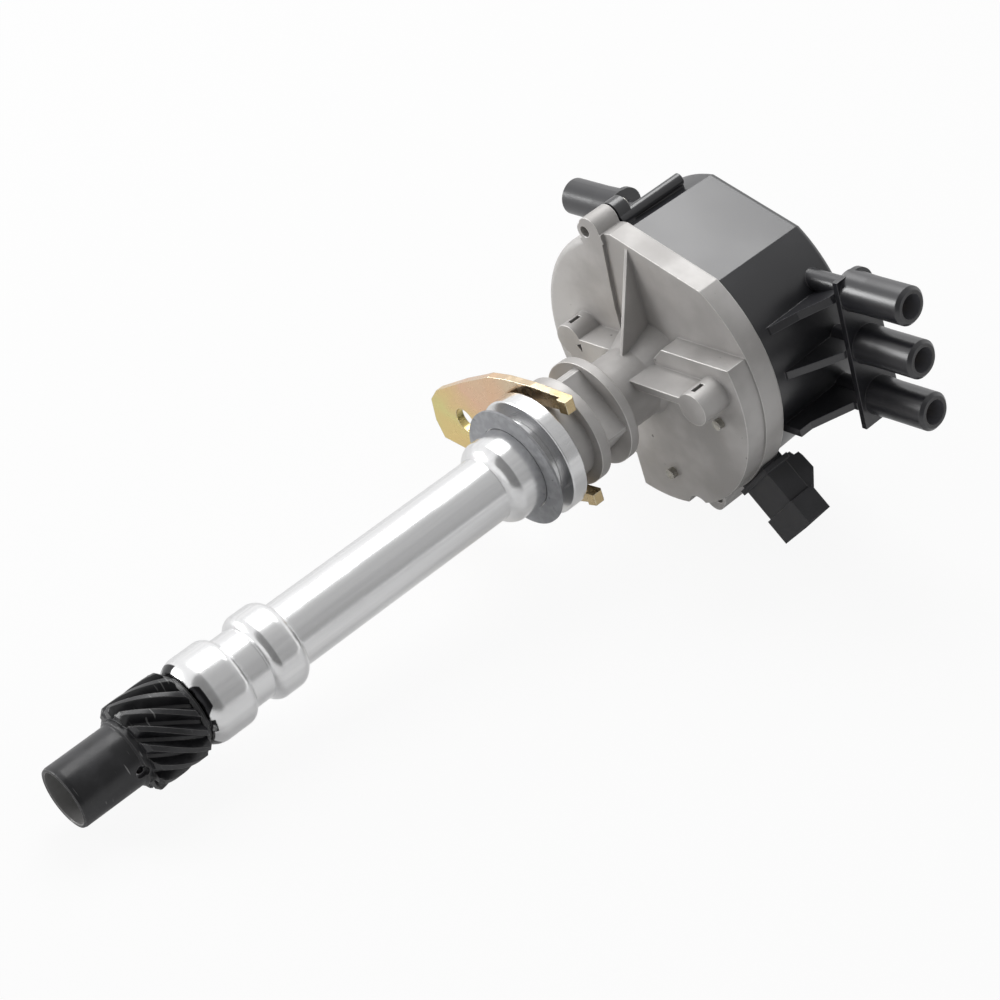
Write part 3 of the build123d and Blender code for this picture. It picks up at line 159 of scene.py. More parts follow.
# Painted shade of the bore on the end face, a dark ring that makes the bore look wider: its radius, how
# softly it ends there, and how far behind the face it begins and is full
LIP_RADIUS = 5.7
LIP_FADE = 0.4
LIP_DEPTHS = (0.08, 0.04)
LIP_SHADE_COLOUR = (0.004, 0.004, 0.005)
# Painted light on the wall of the socket inside its mouth
SOCKET_MOUTH = 4.65
SOCKET_DEPTH = 22.0
SOCKET_LIGHT_COLOUR = (0.16, 0.16, 0.175)

# Gear sleeve: a radius just outside its bore, and how softly the painted light inside it ends there, in mm
BORE_LIGHT_RADIUS = 10.3
BORE_LIGHT_FADE = 0.2
BORE_LIGHT_COLOUR = (0.24, 0.237, 0.234)
# Scratches round the black parts, their light colour partly a painted glint: cycles per mm each way, noise
# where they begin and are full, strength
SCRATCH_SCALE = (0.10, 0.10, 0.85)
SCRATCH_RANGE = (0.715, 0.76)
SCRATCH_SHARE = 0.7
SCRATCH_GLINT_COLOUR = (0.30, 0.30, 0.30)

# Drive gear, in mm and degrees: the same sizes as its solid, with finer steps along the twist
TOOTH_COUNT = 13
TIP_RADIUS = 16.3
ROOT_RADIUS = 12.6
HELIX_ANGLE = 36.0
GEAR_TOP = -157.5
TOOTH_LENGTH = 21.5
TOP_CHAMFER = 1.0
BOTTOM_CHAMFER = 1.4
TWIST_STEPS = 56
# Angles from the middle of a tooth, and heights over the root
TOOTH_OUTLINE = (
    (-10.4, 0.0), (-8.2, 0.9), (-5.9, 2.7), (-4.0, 3.7), (-1.4, 3.7),
    (1.4, 3.7), (4.0, 3.7), (5.9, 2.7), (8.2, 0.9), (10.4, 0.0), (13.85, 0.0),
)

# Hub and sleeve below the teeth, in mm
HUB_RADIUS = 12.4
HUB_LENGTH = 2.5
HUB_STEP = 0.02
HUB_CHAMFER = 0.6
SLEEVE_RADIUS = 11.5
SLEEVE_LENGTH = 24.5
# Rings along the sleeve, close enough together for the pin's hole to be cut cleanly
SLEEVE_RINGS = 25
SLEEVE_RING_PITCH = 0.9
# The rounded rim: its height outside, and the point half-way round
RIM_HEIGHT = 1.2
RIM_POINT = 0.3
SLEEVE_BORE = 9.9
SLEEVE_BORE_DEPTH = 14.0
SLEEVE_BORE_CHAMFER = 0.5
SHAFT_RADIUS = 6.32
SHAFT_BORE_STEPS = 16

# Hole for the pin through hub and shaft, in mm and degrees
PIN_RADIUS = 2.35
PIN_HEIGHT = -182.3
PIN_ANGLE = 7.6
PIN_HOLE_SIDES = 48
PIN_HOLE_LENGTH = 4.0 * SLEEVE_RADIUS
SHARP_ANGLE = 28.0

FLOAT = "NodeSocketFloat"
VECTOR = "NodeSocketVector"


class ShaderNodes:
    """The nodes of one material, world or node group, with short ways to add the usual ones."""

    def __init__(self, tree):
        self.tree = tree

    def feed(self, socket, value):
        """Gives an input a number, a vector, a colour or another node's output."""
        if isinstance(value, bpy.types.NodeSocket):
            self.tree.links.new(value, socket)
        elif socket.type == "RGBA":
            socket.default_value = (*value, 1.0)
        else:
            socket.default_value = value

    def add(self, kind, fed=None, **settings):
        """A new node with its settings, its inputs fed by name or by number."""
        node = self.tree.nodes.new(kind)
        for key, value in settings.items():
            setattr(node, key, value)
        for key, value in (fed or {}).items():
            self.feed(node.inputs[key], value)
        return node

    def use(self, group, **fed):
        """One use of a node group, its inputs fed by name."""
        return self.add("ShaderNodeGroup", fed, node_tree=group)

    def maths(self, operation, *values):
        return self.add("ShaderNodeMath", dict(enumerate(values)), operation=operation).outputs[0]

    def vector_maths(self, operation, *values):
        return self.add("ShaderNodeVectorMath", dict(enumerate(values)), operation=operation).outputs

    def place(self):
        """The point on the piece, in its own millimetres."""
        place = self.add("ShaderNodeTexCoord").outputs["Object"]
        fed = {0: place, "Scale": MM_PER_METRE}
        return self.add("ShaderNodeVectorMath", fed, operation="SCALE").outputs[0]

    def split(self, vector):
        """The X, Y and Z of a vector."""
        return self.add("ShaderNodeSeparateXYZ", {0: vector}).outputs

    def distance(self, first, second):
        """How far a point is from the origin by its two coordinates."""
        flat = self.add("ShaderNodeCombineXYZ", {"X": first, "Y": second})
        return self.vector_maths("LENGTH", flat.outputs[0])["Value"]

    def ramp(self, value, start, end, low=0.0, high=1.0, smooth=False):
        """Goes from low to high while a value goes from start to end, and no further."""
        fed = {"Value": value, "From Min": start, "From Max": end, "To Min": low, "To Max": high}
        style = "SMOOTHSTEP" if smooth else "LINEAR"
        return self.add("ShaderNodeMapRange", fed, interpolation_type=style).outputs[0]

    def noise(self, place, scale, detail):
        fed = {"Vector": place, "Scale": scale, "Detail": detail}
        return self.add("ShaderNodeTexNoise", fed).outputs[0]

    def stretched_noise(self, scales, detail):
        """Noise over the piece with its own number of cycles per millimetre along X, Y and Z."""
        stretched = self.vector_maths("MULTIPLY", self.place(), scales)[0]
        return self.noise(stretched, scale=1.0, detail=detail)

    def blend(self, kind, share, first, second):
        """Mixes two values, vectors or colours by a share; each is plain or a node's output."""
        fed = {"Factor": share, "A": first, "B": second}
        return self.add("ShaderNodeMix", fed, data_type=kind).outputs["Result"]

    def tint(self, share, below, above):
        """Lays one colour over another by a share."""
        return self.blend("RGBA", share, below, above)

    def mix_shaders(self, share, first, second):
        fed = {0: share, 1: first.outputs[0], 2: second.outputs[0]}
        return self.add("ShaderNodeMixShader", fed)


def emptied_nodes(owner):
    """The nodes of a new material or world, with those that it starts with taken out."""
    owner.use_nodes = True
    owner.node_tree.nodes.clear()
    return ShaderNodes(owner.node_tree)


def put_in_scene(name, data):
    thing = bpy.data.objects.new(name, data)
    bpy.context.scene.collection.objects.link(thing)
    return thing


def mesh_of(name, points, faces):
    mesh = bpy.data.meshes.new(name)
    mesh.from_pydata(points, [], faces)
    mesh.update()
    return mesh


def place_camera():
    data = bpy.data.cameras.new("photo_camera")
    data.lens = CAMERA_LENS
    data.sensor_width = CAMERA_SENSOR
    data.clip_start, data.clip_end = CAMERA_CLIP
    camera = put_in_scene("photo_camera", data)
    columns = Matrix((CAMERA_RIGHT, CAMERA_UP, CAMERA_BACK)).transposed()
    camera.matrix_world = Matrix.Translation(Vector(CAMERA_PLACE) * MM) @ columns.to_4x4()
    bpy.context.scene.camera = camera


def soft_lamp(name, direction, distance, size, power):
    """A square area lamp that looks at the middle of the distributor from a direction."""
    data = bpy.data.lights.new(name, "AREA")
    data.shape = "SQUARE"
    data.size = size
    data.energy = power
    lamp = put_in_scene(name, data)
    way = Vector(direction).normalized()
    lamp.location = Vector(LAMP_AIM) + way * distance
    lamp.rotation_mode = "QUATERNION"
    lamp.rotation_quaternion = (-way).to_track_quat("-Z", "Y")


def studio_world():
    """White for camera, mirror and see-through rays, a plain soft grey for the light itself."""
    world = bpy.data.worlds.new("pale_studio")
    nodes = emptied_nodes(world)
    path = nodes.add("ShaderNodeLightPath").outputs
    seen = nodes.maths("MAXIMUM", path["Is Camera Ray"], path["Is Glossy Ray"])
    seen = nodes.maths("MAXIMUM", seen, path["Is Transmission Ray"])
    soft = nodes.add("ShaderNodeBackground", {"Strength": WORLD_LEVEL})
    white = nodes.add("ShaderNodeBackground", {"Color": WHITE})
    mix = nodes.mix_shaders(seen, soft, white)
    nodes.add("ShaderNodeOutputWorld", {"Surface": mix.outputs[0]})
    bpy.context.scene.world = world


def pale_floor():
    """A wide white sheet under the distributor, seen only from its lit side."""
    side = FLOOR_UP.orthogonal().normalized()
    along = FLOOR_UP.cross(side)
    middle = FLOOR_UP * -FLOOR_DROP * MM
    corners = [middle + side * a * FLOOR_REACH + along * b * FLOOR_REACH for a, b in FLOOR_CORNERS]
    mesh = mesh_of("floor_sheet", [tuple(corner) for corner in corners], [(0, 1, 2, 3)])
    if mesh.polygons[0].normal.dot(FLOOR_UP) < 0:
        mesh.flip_normals()
    floor = put_in_scene("floor_sheet", mesh)
    material = bpy.data.materials.new("floor_paper")
    nodes = emptied_nodes(material)
    path = nodes.add("ShaderNodeLightPath").outputs
    for_camera = nodes.maths("MULTIPLY", path["Is Camera Ray"], FLOOR_GLOW)
    for_metal = nodes.maths("MULTIPLY", path["Is Glossy Ray"], FLOOR_GLOW_IN_METAL)
    share = nodes.maths("MAXIMUM", for_camera, for_metal)
    paper = nodes.add("ShaderNodeBsdfDiffuse", {"Color": FLOOR_COLOUR})
    lit = nodes.mix_shaders(share, paper, nodes.add("ShaderNodeEmission"))
    clear = nodes.add("ShaderNodeBsdfTransparent")
    from_behind = nodes.add("ShaderNodeNewGeometry").outputs["Backfacing"]
    one_sided = nodes.mix_shaders(from_behind, lit, clear)
    nodes.add("ShaderNodeOutputMaterial", {"Surface": one_sided.outputs[0]})
    mesh.materials.append(material)


def grey_card(name, angles, heights, radius, levels):
    """An upright curved card round the shaft's axis that only mirror rays see.

    Its columns stand at even angles about the axis and its rows at the given heights.
    Its level runs evenly along Y from the first one to the last.
    """
    first, last = angles
    ring = [math.radians(first + (last - first) * k / CARD_COLUMNS) for k in range(CARD_COLUMNS + 1)]
    points = [(radius * math.cos(a), radius * math.sin(a), z) for z in heights for a in ring]
    width = len(ring)
    faces = [(k, k + 1, k + 1 + width, k + width) for k in range(CARD_COLUMNS)]
    mesh = mesh_of(name, points, faces)
    card = put_in_scene(name, mesh)
    material = bpy.data.materials.new(name + "_paint")
    nodes = emptied_nodes(material)
    place = nodes.add("ShaderNodeTexCoord").outputs["Object"]
    level = nodes.ramp(nodes.split(place)["Y"], -radius, radius * CARD_LEVEL_END, *levels)
    glow = nodes.add("ShaderNodeEmission", {"Strength": level})
    nodes.add("ShaderNodeOutputMaterial", {"Surface": glow.outputs[0]})
    mesh.materials.append(material)
    card.visible_camera = False
    card.visible_diffuse = False
    card.visible_transmission = False
    card.visible_shadow = False


def node_group(name, inputs, outputs):
    """A shader node group with named sockets: the group, its nodes, what is given and the result."""
    group = bpy.data.node_groups.new(name, "ShaderNodeTree")
    for title, kind, value in inputs:
        socket = group.interface.new_socket(name=title, in_out="INPUT", socket_type=kind)
        if value is not None:
            socket.default_value = value
    for title, kind in outputs:
        group.interface.new_socket(name=title, in_out="OUTPUT", socket_type=kind)
    nodes = ShaderNodes(group)
    return group, nodes, nodes.add("NodeGroupInput").outputs, nodes.add("NodeGroupOutput").inputs


def worn_edge_group():
    """Rounded corners for the light, a mask of sharp outer edges, and one of hollow corners for painted
    shade.
    """
    group, nodes, given, result = node_group(
        "worn_edge", [("Width", FLOAT, 0.4)], [("Mask", FLOAT), ("Hollow", FLOAT), ("Normal", VECTOR)])
    width = nodes.maths("MULTIPLY", given["Width"], MM)
    rounded = nodes.add("ShaderNodeBevel", {"Radius": width}, samples=EDGE_SAMPLES).outputs[0]
    flat = nodes.add("ShaderNodeNewGeometry").outputs["Normal"]
    likeness = nodes.vector_maths("DOT_PRODUCT", rounded, flat)["Value"]
    worn = nodes.ramp(likeness, *WEAR_LIKENESS, smooth=True)
    openness = nodes.add(
        "ShaderNodeAmbientOcclusion", {"Distance": nodes.maths("MULTIPLY", width, HOLLOW_REACH)},
        samples=EDGE_SAMPLES, only_local=True).outputs["AO"]
    outer = nodes.ramp(openness, *OUTER_OPENNESS, smooth=True)
    nodes.feed(result["Mask"], nodes.maths("MULTIPLY", worn, outer))
    nodes.feed(result["Hollow"], nodes.maths("SUBTRACT", 1.0, openness))
    nodes.feed(result["Normal"], rounded)
    return group


def patches_group():
    """Soft patches between 0 and 1 from fractal noise; Scale is in cycles per millimetre."""
    group, nodes, given, result = node_group(
        "soft_patches",
        [("Scale", FLOAT, 0.1), ("Detail", FLOAT, 3.0), ("Low", FLOAT, 0.4), ("High", FLOAT, 0.6)],
        [("Mask", FLOAT)])
    noise = nodes.noise(nodes.place(), given["Scale"], given["Detail"])
    nodes.feed(result["Mask"], nodes.ramp(noise, given["Low"], given["High"], smooth=True))
    return group


def relief_group(name, scale, depth, detail, turned):
    """Fine relief from noise of a Scale per millimetre and a Depth in millimetres.

    Turned relief depends only on the height and the distance from the axis, so it makes rings.
    """
    group, nodes, given, result = node_group(
        name,
        [("Scale", FLOAT, scale), ("Depth", FLOAT, depth), ("Normal", VECTOR, None)],
        [("Normal", VECTOR)])
    place = nodes.place()
    if turned:
        x, y, z = nodes.split(place)
        place = nodes.add("ShaderNodeCombineXYZ", {"X": nodes.distance(x, y), "Z": z}).outputs[0]
    height = nodes.noise(place, given["Scale"], detail)
    metres = nodes.maths("MULTIPLY", given["Depth"], MM)
    bump = nodes.add("ShaderNodeBump", {"Distance": metres, "Height": height, "Normal": given["Normal"]})
    nodes.feed(result["Normal"], bump.outputs[0])
    return group


def blank_material(name):
    """A new material, its nodes and its main shader."""
    material = bpy.data.materials.new(name)
    material.use_nodes = True
    nodes = ShaderNodes(material.node_tree)
    return material, nodes, material.node_tree.nodes["Principled BSDF"]


def feed_shader(nodes, shader, colour, metallic, roughness, normal):
    nodes.feed(shader.inputs["Base Color"], colour)
    nodes.feed(shader.inputs["Metallic"], metallic)
    nodes.feed(shader.inputs["Roughness"], roughness)
    nodes.feed(shader.inputs["Normal"], normal)


def finish_material(name, colour, patch_colour, edge_colour, metallic, roughness, patch_scale,
                    grain_scale, grain_depth, edge_width=0.35, turned=0.0, pits=0.0, shine=0.5,
                    painted_shading_and_marks=None):
    """One surface: base with soft patches, rounded and worn edges, grain, and turned rings if asked."""
    material, nodes, shader = blank_material(name)
    edge = nodes.use(WORN_EDGE, Width=edge_width).outputs
    patches = nodes.use(SOFT_PATCHES, Scale=patch_scale, Low=0.38, High=0.66).outputs["Mask"]
    body = nodes.tint(patches, colour, patch_colour)
    gloss = nodes.blend("FLOAT", patches, *roughness)
    normal = edge["Normal"]
    if turned:
        normal = nodes.use(TURNED_RINGS, Depth=turned, Normal=normal).outputs["Normal"]
    grain = nodes.use(SURFACE_GRAIN, Scale=grain_scale, Depth=grain_depth, Normal=normal)
    if pits:
        dark = nodes.use(SOFT_PATCHES, Scale=0.55, Detail=1.0, Low=0.70, High=0.76).outputs["Mask"]
        pit_colour = tuple(channel * PIT_BRIGHTNESS for channel in colour)
        body = nodes.tint(nodes.maths("MULTIPLY", dark, pits), body, pit_colour)
    body = nodes.tint(edge["Mask"], body, edge_colour)
    # Painted light, shade and marks, where given
    if painted_shading_and_marks:
        body = painted_shading_and_marks(nodes, body)
    feed_shader(nodes, shader, body, metallic, gloss, grain.outputs["Normal"])
    shader.inputs["Specular IOR Level"].default_value = shine
    return material


def turned_surface(nodes, edge, height):
    """Colour, roughness and normal of the bright turned stem."""
    rings = nodes.use(TURNED_RINGS, Scale=3.0, Depth=0.0035, Normal=edge["Normal"])
    dings = nodes.use(SOFT_PATCHES, Scale=0.11, Detail=1.0, Low=0.74, High=0.80).outputs["Mask"]
    haze = nodes.use(SOFT_PATCHES, Scale=0.05, Low=0.35, High=0.7).outputs["Mask"]
    body = nodes.tint(dings, TURNED_COLOUR, DING_COLOUR)
    streaks = nodes.ramp(nodes.stretched_noise(STREAK_SCALE, detail=3.0), *STREAK_RANGE, high=STREAK_SHARE)
    body = nodes.tint(streaks, body, STREAK_COLOUR)
    # Dark patches on the collar's nose
    dark_patches = nodes.use(SOFT_PATCHES, Scale=0.085, Detail=0.0, Low=0.47, High=0.50).outputs["Mask"]
    on_nose = nodes.ramp(height, NOSE_DARK_TOP, NOSE_DARK_TOP - NOSE_DARK_FADE)
    body = nodes.tint(nodes.maths("MULTIPLY", on_nose, dark_patches), body, NOSE_DARK_COLOUR)
    return body, nodes.blend("FLOAT", haze, *TURNED_ROUGHNESS), rings.outputs["Normal"]


def cast_surface(nodes, edge):
    """Colour, roughness and normal of the grey shell as it was cast."""
    skin = nodes.use(SURFACE_GRAIN, Scale=0.9, Depth=0.05, Normal=edge["Normal"])
    tone = nodes.use(SOFT_PATCHES, Scale=0.04, Detail=4.0, Low=0.35, High=0.68).outputs["Mask"]
    body = nodes.tint(tone, *CAST_COLOURS)
    pits = nodes.use(SOFT_PATCHES, Scale=0.30, Detail=1.0, Low=0.78, High=0.83).outputs["Mask"]
    body = nodes.tint(pits, body, CAST_PIT_COLOUR)
    # Painted shade in the hollow corners
    body = nodes.tint(edge["Hollow"], body, CAST_HOLLOW_SHADE_COLOUR)
    body = nodes.tint(edge["Mask"], body, CAST_EDGE_COLOUR)
    gloss = nodes.blend("FLOAT", tone, *CAST_ROUGHNESS)
    gloss = nodes.blend("FLOAT", edge["Mask"], gloss, CAST_EDGE_ROUGHNESS)
    return body, gloss, skin.outputs["Normal"]


def casting_material():
    """The housing: turned bright below the clamp groove, sand-grey and as cast above it."""
    material, nodes, shader = blank_material("cast_and_turned_aluminium")
    edge = nodes.use(WORN_EDGE, Width=0.6).outputs
    height = nodes.split(nodes.place())["Z"]
    is_turned = nodes.ramp(height, TURNED_TOP + TURNED_BLUR, TURNED_TOP - TURNED_BLUR)
    bright_colour, bright_gloss, bright_normal = turned_surface(nodes, edge, height)
    cast_colour, cast_gloss, cast_normal = cast_surface(nodes, edge)
    feed_shader(
        nodes, shader,
        nodes.tint(is_turned, cast_colour, bright_colour),
        nodes.blend("FLOAT", is_turned, CAST_METALLIC, 1.0),
        nodes.blend("FLOAT", is_turned, cast_gloss, bright_gloss),
        nodes.blend("VECTOR", is_turned, cast_normal, bright_normal))
    return material


def zinc_material():
    """Yellow-passivated zinc: pink, gold and green bands across the clamp, bent by large noise."""
    material, nodes, shader = blank_material("iridescent_zinc")
    place = nodes.place()
    x, y, _ = nodes.split(place)
    drift = nodes.noise(place, BAND_DRIFT_SCALE, BAND_DRIFT_DETAIL)
    swing = nodes.maths("MULTIPLY_ADD", drift, BAND_SWING, -BAND_SWING / 2.0)
    across = nodes.ramp(y, -BAND_REACH, BAND_REACH)
    bands = nodes.add("ShaderNodeValToRGB", {0: nodes.maths("ADD", across, swing)})
    stops = bands.color_ramp.elements
    for position, colour in ZINC_BANDS[1:-1]:
        stops.new(position)
    for stop, (position, colour) in zip(stops, ZINC_BANDS):
        stop.position = position
        stop.color = (*colour, 1.0)
    on_arms = nodes.ramp(x, ARMS_START, ARMS_START + ARMS_FADE, smooth=True)
    body = nodes.tint(on_arms, bands.outputs[0], ARMS_COLOUR)
    on_tips = nodes.ramp(x, TIPS_START, TIPS_START + TIPS_FADE, smooth=True)
    body = nodes.tint(on_tips, body, TIPS_COLOUR)
    edge = nodes.use(WORN_EDGE, Width=0.4).outputs
    body = nodes.tint(edge["Mask"], body, ZINC_EDGE_COLOUR)
    patches = nodes.use(SOFT_PATCHES, Scale=0.2, Low=0.35, High=0.7).outputs["Mask"]
    gloss = nodes.blend("FLOAT", patches, *ZINC_ROUGHNESS)
    grain = nodes.use(SURFACE_GRAIN, Scale=1.6, Depth=0.010, Normal=edge["Normal"])
    feed_shader(nodes, shader, body, 1.0, gloss, grain.outputs["Normal"])
    return material


def tower_shade_and_light(nodes, body):
    """Painted shade on the end faces of the cap's towers, so their bores look wider, and painted light on
    the socket walls inside their mouths.
    """
    x, y, z = nodes.split(nodes.place())
    on_left = nodes.maths("LESS_THAN", x, 0.0)
    pitch = nodes.blend("FLOAT", on_left, RIGHT_PITCH, LEFT_PITCH)
    height = nodes.blend("FLOAT", on_left, RIGHT_HEIGHT, LEFT_HEIGHT)
    upper = nodes.maths("MULTIPLY", pitch, 0.5)
    lower = nodes.maths("MULTIPLY", pitch, -0.5)
    offset = nodes.maths("WRAP", y, upper, lower)
    from_axis = nodes.distance(offset, nodes.maths("SUBTRACT", z, height))
    outward = nodes.maths("ABSOLUTE", x)
    at_end = nodes.ramp(outward, *(TOWER_END - depth for depth in LIP_DEPTHS))
    in_lip = nodes.ramp(from_axis, LIP_RADIUS, LIP_RADIUS - LIP_FADE)
    # Painted shade of the bore on the end face
    body = nodes.tint(nodes.maths("MULTIPLY", at_end, in_lip), body, LIP_SHADE_COLOUR)
    in_tower = nodes.maths("GREATER_THAN", outward, TOWER_END - SOCKET_DEPTH)
    in_mouth = nodes.maths("LESS_THAN", from_axis, SOCKET_MOUTH)
    behind_end = nodes.maths("SUBTRACT", 1.0, at_end)
    in_socket = nodes.maths("MULTIPLY", nodes.maths("MULTIPLY", in_tower, in_mouth), behind_end)
    # Painted light on the socket's wall
    return nodes.tint(in_socket, body, SOCKET_LIGHT_COLOUR)


def bore_light_and_scratches(nodes, body):
    """Painted light inside the gear's open sleeve, and thin scratches round the black steel, painted light
    enough to stand for their glints.
    """
    x, y, _ = nodes.split(nodes.place())
    inside = nodes.ramp(nodes.distance(x, y), BORE_LIGHT_RADIUS, BORE_LIGHT_RADIUS - BORE_LIGHT_FADE)
    # Painted light inside the sleeve's bore
    body = nodes.tint(inside, body, BORE_LIGHT_COLOUR)
    scratches = nodes.stretched_noise(SCRATCH_SCALE, detail=1.0)
    scratch_glints = nodes.ramp(scratches, *SCRATCH_RANGE, high=SCRATCH_SHARE)
    # Scratches, painted light enough to stand for their glints
    return nodes.tint(scratch_glints, body, SCRATCH_GLINT_COLOUR)


def neck_block():
    """The square neck between the two discs, which stands a little outside the round one."""
    cut = BLOCK_HALF_WIDTH * math.sqrt(2.0) - BLOCK_CORNER_RADIUS
    ring = []
    for quarter in range(4):
        angle = math.radians(BLOCK_TURN + 90.0 * quarter)
        out = Vector((math.cos(angle), math.sin(angle)))
        along = Vector((-out.y, out.x))
        ring.append(out * BLOCK_CORNER_RADIUS - along * cut)
        ring.append(out * BLOCK_CORNER_RADIUS + along * cut)
    count = len(ring)
    points = [(p.x * MM, p.y * MM, z * MM) for z in (BLOCK_BOTTOM, BLOCK_TOP) for p in ring]
    faces = [(k, (k + 1) % count, count + (k + 1) % count, count + k) for k in range(count)]
    faces.append(tuple(range(count - 1, -1, -1)))
    faces.append(tuple(range(count, 2 * count)))
    mesh = mesh_of("neck_block", points, faces)
    block = put_in_scene("neck_block", mesh)
    mesh.materials.append(finishes["cast_aluminium"])
    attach(block, "fixed_body")


def gear_rings():
    """Rings of (height, turn, radii) that run round the gear's section, from its top bore and back."""
    bottom = GEAR_TOP - TOOTH_LENGTH
    sleeve_top = bottom - HUB_LENGTH
    end = sleeve_top - SLEEVE_LENGTH
    pitch_radius = (TIP_RADIUS + ROOT_RADIUS) / 2.0
    twist = math.degrees(TOOTH_LENGTH * math.tan(math.radians(HELIX_ANGLE)) / pitch_radius)
    outline = [ROOT_RADIUS + height for _, height in TOOTH_OUTLINE] * TOOTH_COUNT
    chamfer_starts = [GEAR_TOP - TOP_CHAMFER, bottom + BOTTOM_CHAMFER]
    heights = [GEAR_TOP - TOOTH_LENGTH * k / TWIST_STEPS for k in range(TWIST_STEPS + 1)]
    rings = []
    for height in sorted(heights + chamfer_starts, reverse=True):
        limit = TIP_RADIUS - max(0.0, height - chamfer_starts[0], chamfer_starts[1] - height)
        radii = [min(limit, radius) for radius in outline]
        rings.append((height, twist * (height - bottom) / TOOTH_LENGTH, radii))
    bore_end = end + SLEEVE_BORE_DEPTH
    straight_top = sleeve_top - HUB_CHAMFER
    sleeve = [(HUB_RADIUS, bottom - HUB_STEP), (HUB_RADIUS, sleeve_top + HUB_CHAMFER)]
    sleeve += [(SLEEVE_RADIUS, sleeve_top)]
    sleeve += [(SLEEVE_RADIUS, straight_top - SLEEVE_RING_PITCH * k) for k in range(SLEEVE_RINGS)]
    sleeve += [
        (SLEEVE_RADIUS, end + RIM_HEIGHT),
        (SLEEVE_RADIUS - RIM_POINT, end + RIM_POINT),
        (SLEEVE_BORE + SLEEVE_BORE_CHAMFER, end),
        (SLEEVE_BORE, end + SLEEVE_BORE_CHAMFER),
        (SLEEVE_BORE, bore_end),
        (SHAFT_RADIUS, bore_end),
    ]
    rings += [(height, 0.0, [radius] * len(outline)) for radius, height in sleeve]
    for step in range(1, SHAFT_BORE_STEPS + 1):
        share = step / SHAFT_BORE_STEPS
        height = bore_end + (GEAR_TOP - bore_end) * share
        rings.append((height, twist * share, [SHAFT_RADIUS] * len(outline)))
    return rings


def gear_blank():
    """The gear without its pin's hole, as one skin over its rings."""
    tooth_angles = [360.0 * tooth / TOOTH_COUNT for tooth in range(TOOTH_COUNT)]
    angles = [middle + offset for middle in tooth_angles for offset, _ in TOOTH_OUTLINE]
    points = []
    for height, turn, radii in gear_rings():
        for angle, radius in zip(angles, radii):
            way = math.radians(angle + turn)
            points.append((radius * math.cos(way) * MM, radius * math.sin(way) * MM, height * MM))
    columns = len(angles)
    rows = len(points) // columns
    faces = []
    for row in range(rows):
        here = row * columns
        below = (row + 1) % rows * columns
        for column in range(columns):
            beside = (column + 1) % columns
            faces.append((here + column, below + column, below + beside, here + beside))
    return put_in_scene("gear_blank", mesh_of("gear_blank", points, faces))


def smooth_gear():
    """The drive gear with smoothly twisted teeth, in place of its solid's straight-ruled ones."""
    gear = gear_blank()
    bpy.ops.mesh.primitive_cylinder_add(
        vertices=PIN_HOLE_SIDES, radius=PIN_RADIUS * MM, depth=PIN_HOLE_LENGTH * MM)
    drill = bpy.context.object
    drill.rotation_euler = (0.0, math.radians(90.0), math.radians(PIN_ANGLE))
    drill.location = (0.0, 0.0, PIN_HEIGHT * MM)
    bore = gear.modifiers.new("pin_bore", "BOOLEAN")
    bore.operation = "DIFFERENCE"
    bore.solver = "EXACT"
    bore.object = drill
    bpy.context.view_layer.update()
    seen = gear.evaluated_get(bpy.context.evaluated_depsgraph_get())
    cut = bpy.data.meshes.new_from_object(seen)
    cut.name = "gear_body"
    bpy.data.objects.remove(gear)
    bpy.data.objects.remove(drill)
    cut.materials.clear()
    cut.materials.append(finishes["black_steel"])
    body = put_in_scene("gear_body", cut)
    cut.polygons.foreach_set("use_smooth", [True] * len(cut.polygons))
    cut.set_sharp_from_angle(angle=math.radians(SHARP_ANGLE))
    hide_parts("drive_gear")
    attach(body, "rotor_shaft")


def dress(node, material):
    piece = frame["nodes"][node]
    piece.data.materials.clear()
    piece.data.materials.append(material)


place_camera()
studio_world()
pale_floor()
for lamp in LAMPS:
    soft_lamp(*lamp)
for card in CARDS:
    grey_card(*card)

WORN_EDGE = worn_edge_group()
SOFT_PATCHES = patches_group()
SURFACE_GRAIN = relief_group("surface_grain", scale=1.0, depth=0.02, detail=4.0, turned=False)
TURNED_RINGS = relief_group("turned_rings", scale=4.0, depth=0.004, detail=2.0, turned=True)

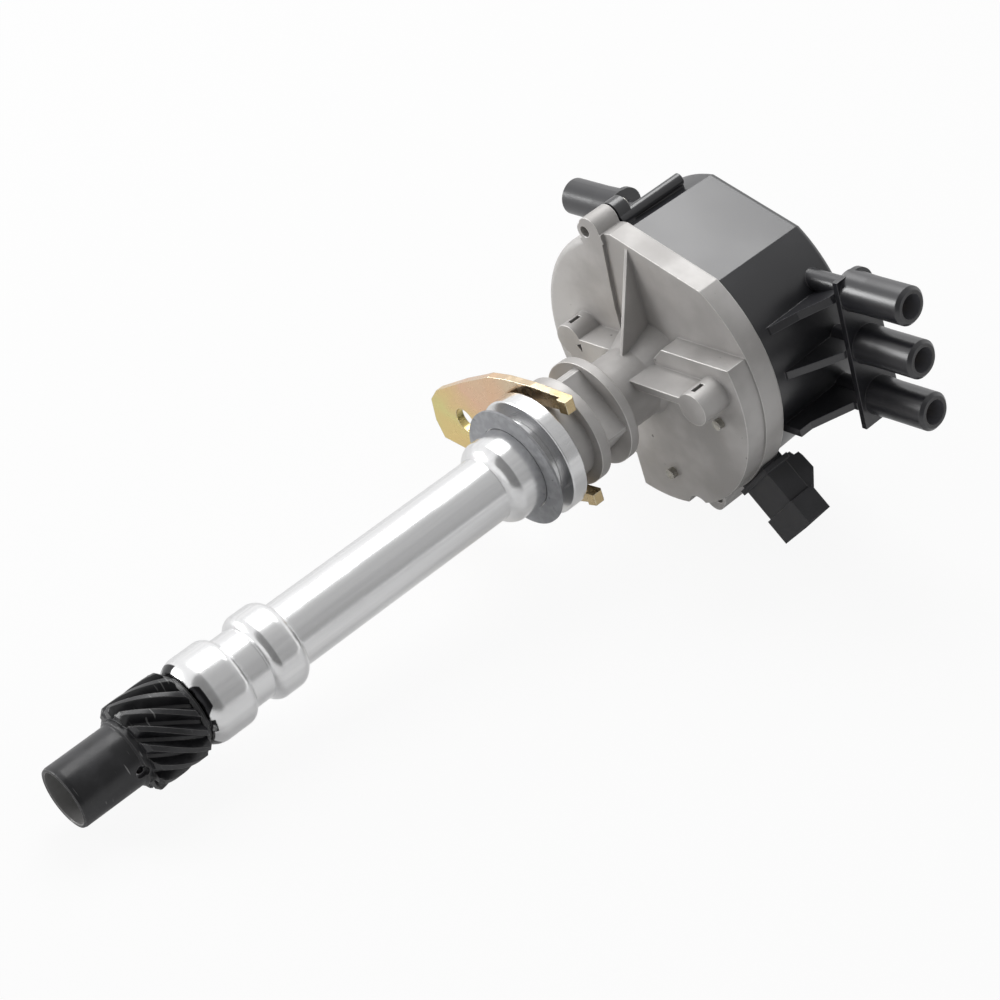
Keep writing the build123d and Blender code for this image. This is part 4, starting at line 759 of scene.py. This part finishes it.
finishes = {
    "cast_aluminium": casting_material(),
    "yellow_zinc": zinc_material(),
    "cap_plastic": finish_material(
        "cap_moulding", colour=(0.020, 0.020, 0.024), patch_colour=(0.025, 0.025, 0.029),
        edge_colour=(0.075, 0.075, 0.085), metallic=0.0, roughness=(0.28, 0.33), patch_scale=0.03,
        grain_scale=1.8, grain_depth=0.006, shine=0.95, painted_shading_and_marks=tower_shade_and_light),
    "black_moulding": finish_material(
        "sensor_moulding", colour=(0.028, 0.028, 0.031), patch_colour=(0.036, 0.036, 0.040),
        edge_colour=(0.07, 0.07, 0.075), metallic=0.0, roughness=(0.42, 0.52), patch_scale=0.09,
        grain_scale=2.2, grain_depth=0.012, edge_width=0.8),
    "black_steel": finish_material(
        "black_oxide_steel", colour=(0.015, 0.015, 0.017), patch_colour=(0.026, 0.026, 0.029),
        edge_colour=(0.16, 0.158, 0.156), metallic=0.0, roughness=(0.28, 0.42), patch_scale=0.16,
        grain_scale=1.5, grain_depth=0.010, edge_width=0.4, shine=0.55, painted_shading_and_marks=bore_light_and_scratches),
    "fibre": finish_material(
        "gasket_fibre", colour=(0.30, 0.305, 0.32), patch_colour=(0.38, 0.385, 0.40),
        edge_colour=(0.42, 0.42, 0.43), metallic=0.0, roughness=(0.72, 0.85), patch_scale=0.35,
        grain_scale=2.6, grain_depth=0.03, edge_width=0.2, pits=0.5),
    "bronze": finish_material(
        "bushing_bronze", colour=(0.52, 0.34, 0.17), patch_colour=(0.42, 0.27, 0.14),
        edge_colour=(0.66, 0.46, 0.26), metallic=1.0, roughness=(0.34, 0.48), patch_scale=0.3,
        grain_scale=3.0, grain_depth=0.02, edge_width=0.25, turned=0.004),
    "terminal_brass": finish_material(
        "terminal_brass_bar", colour=(0.76, 0.58, 0.28), patch_colour=(0.64, 0.46, 0.22),
        edge_colour=(0.86, 0.70, 0.42), metallic=1.0, roughness=(0.24, 0.36), patch_scale=0.2,
        grain_scale=2.0, grain_depth=0.008, edge_width=0.2),
    "zinc_steel": finish_material(
        "bright_zinc_screw", colour=(0.45, 0.44, 0.40), patch_colour=(0.34, 0.33, 0.30),
        edge_colour=(0.80, 0.80, 0.78), metallic=1.0, roughness=(0.24, 0.40), patch_scale=0.4,
        grain_scale=2.5, grain_depth=0.010, edge_width=0.2),
    "seal_rubber": finish_material(
        "seal_rubber_strip", colour=(0.022, 0.022, 0.022), patch_colour=(0.032, 0.032, 0.032),
        edge_colour=(0.04, 0.04, 0.04), metallic=0.0, roughness=(0.66, 0.80), patch_scale=0.2,
        grain_scale=2.0, grain_depth=0.02, edge_width=0.2),
    "spring_steel": finish_material(
        "spring_wire_steel", colour=(0.46, 0.46, 0.47), patch_colour=(0.36, 0.36, 0.37),
        edge_colour=(0.62, 0.62, 0.62), metallic=1.0, roughness=(0.28, 0.40), patch_scale=0.5,
        grain_scale=3.0, grain_depth=0.006, edge_width=0.1),
    "shaft_steel": finish_material(
        "ground_shaft_steel", colour=(0.56, 0.56, 0.57), patch_colour=(0.46, 0.46, 0.47),
        edge_colour=(0.74, 0.74, 0.74), metallic=1.0, roughness=(0.20, 0.32), patch_scale=0.1,
        grain_scale=2.4, grain_depth=0.004, edge_width=0.3, turned=0.004),
    "carbon": finish_material(
        "carbon_rod", colour=(0.045, 0.045, 0.047), patch_colour=(0.065, 0.065, 0.067),
        edge_colour=(0.10, 0.10, 0.10), metallic=0.0, roughness=(0.50, 0.64), patch_scale=0.6,
        grain_scale=4.0, grain_depth=0.012, edge_width=0.2),
}
for part in frame["record"]["subparts"]:
    dress(part["node"], finishes[part["material_slot"]])
# The two washers beside the gear are as black as the gear
for washer in ("thrust_washer", "thrust_shim"):
    dress(washer, finishes["black_steel"])
neck_block()
smooth_gear()

bpy.context.scene.view_settings.view_transform = "Standard"
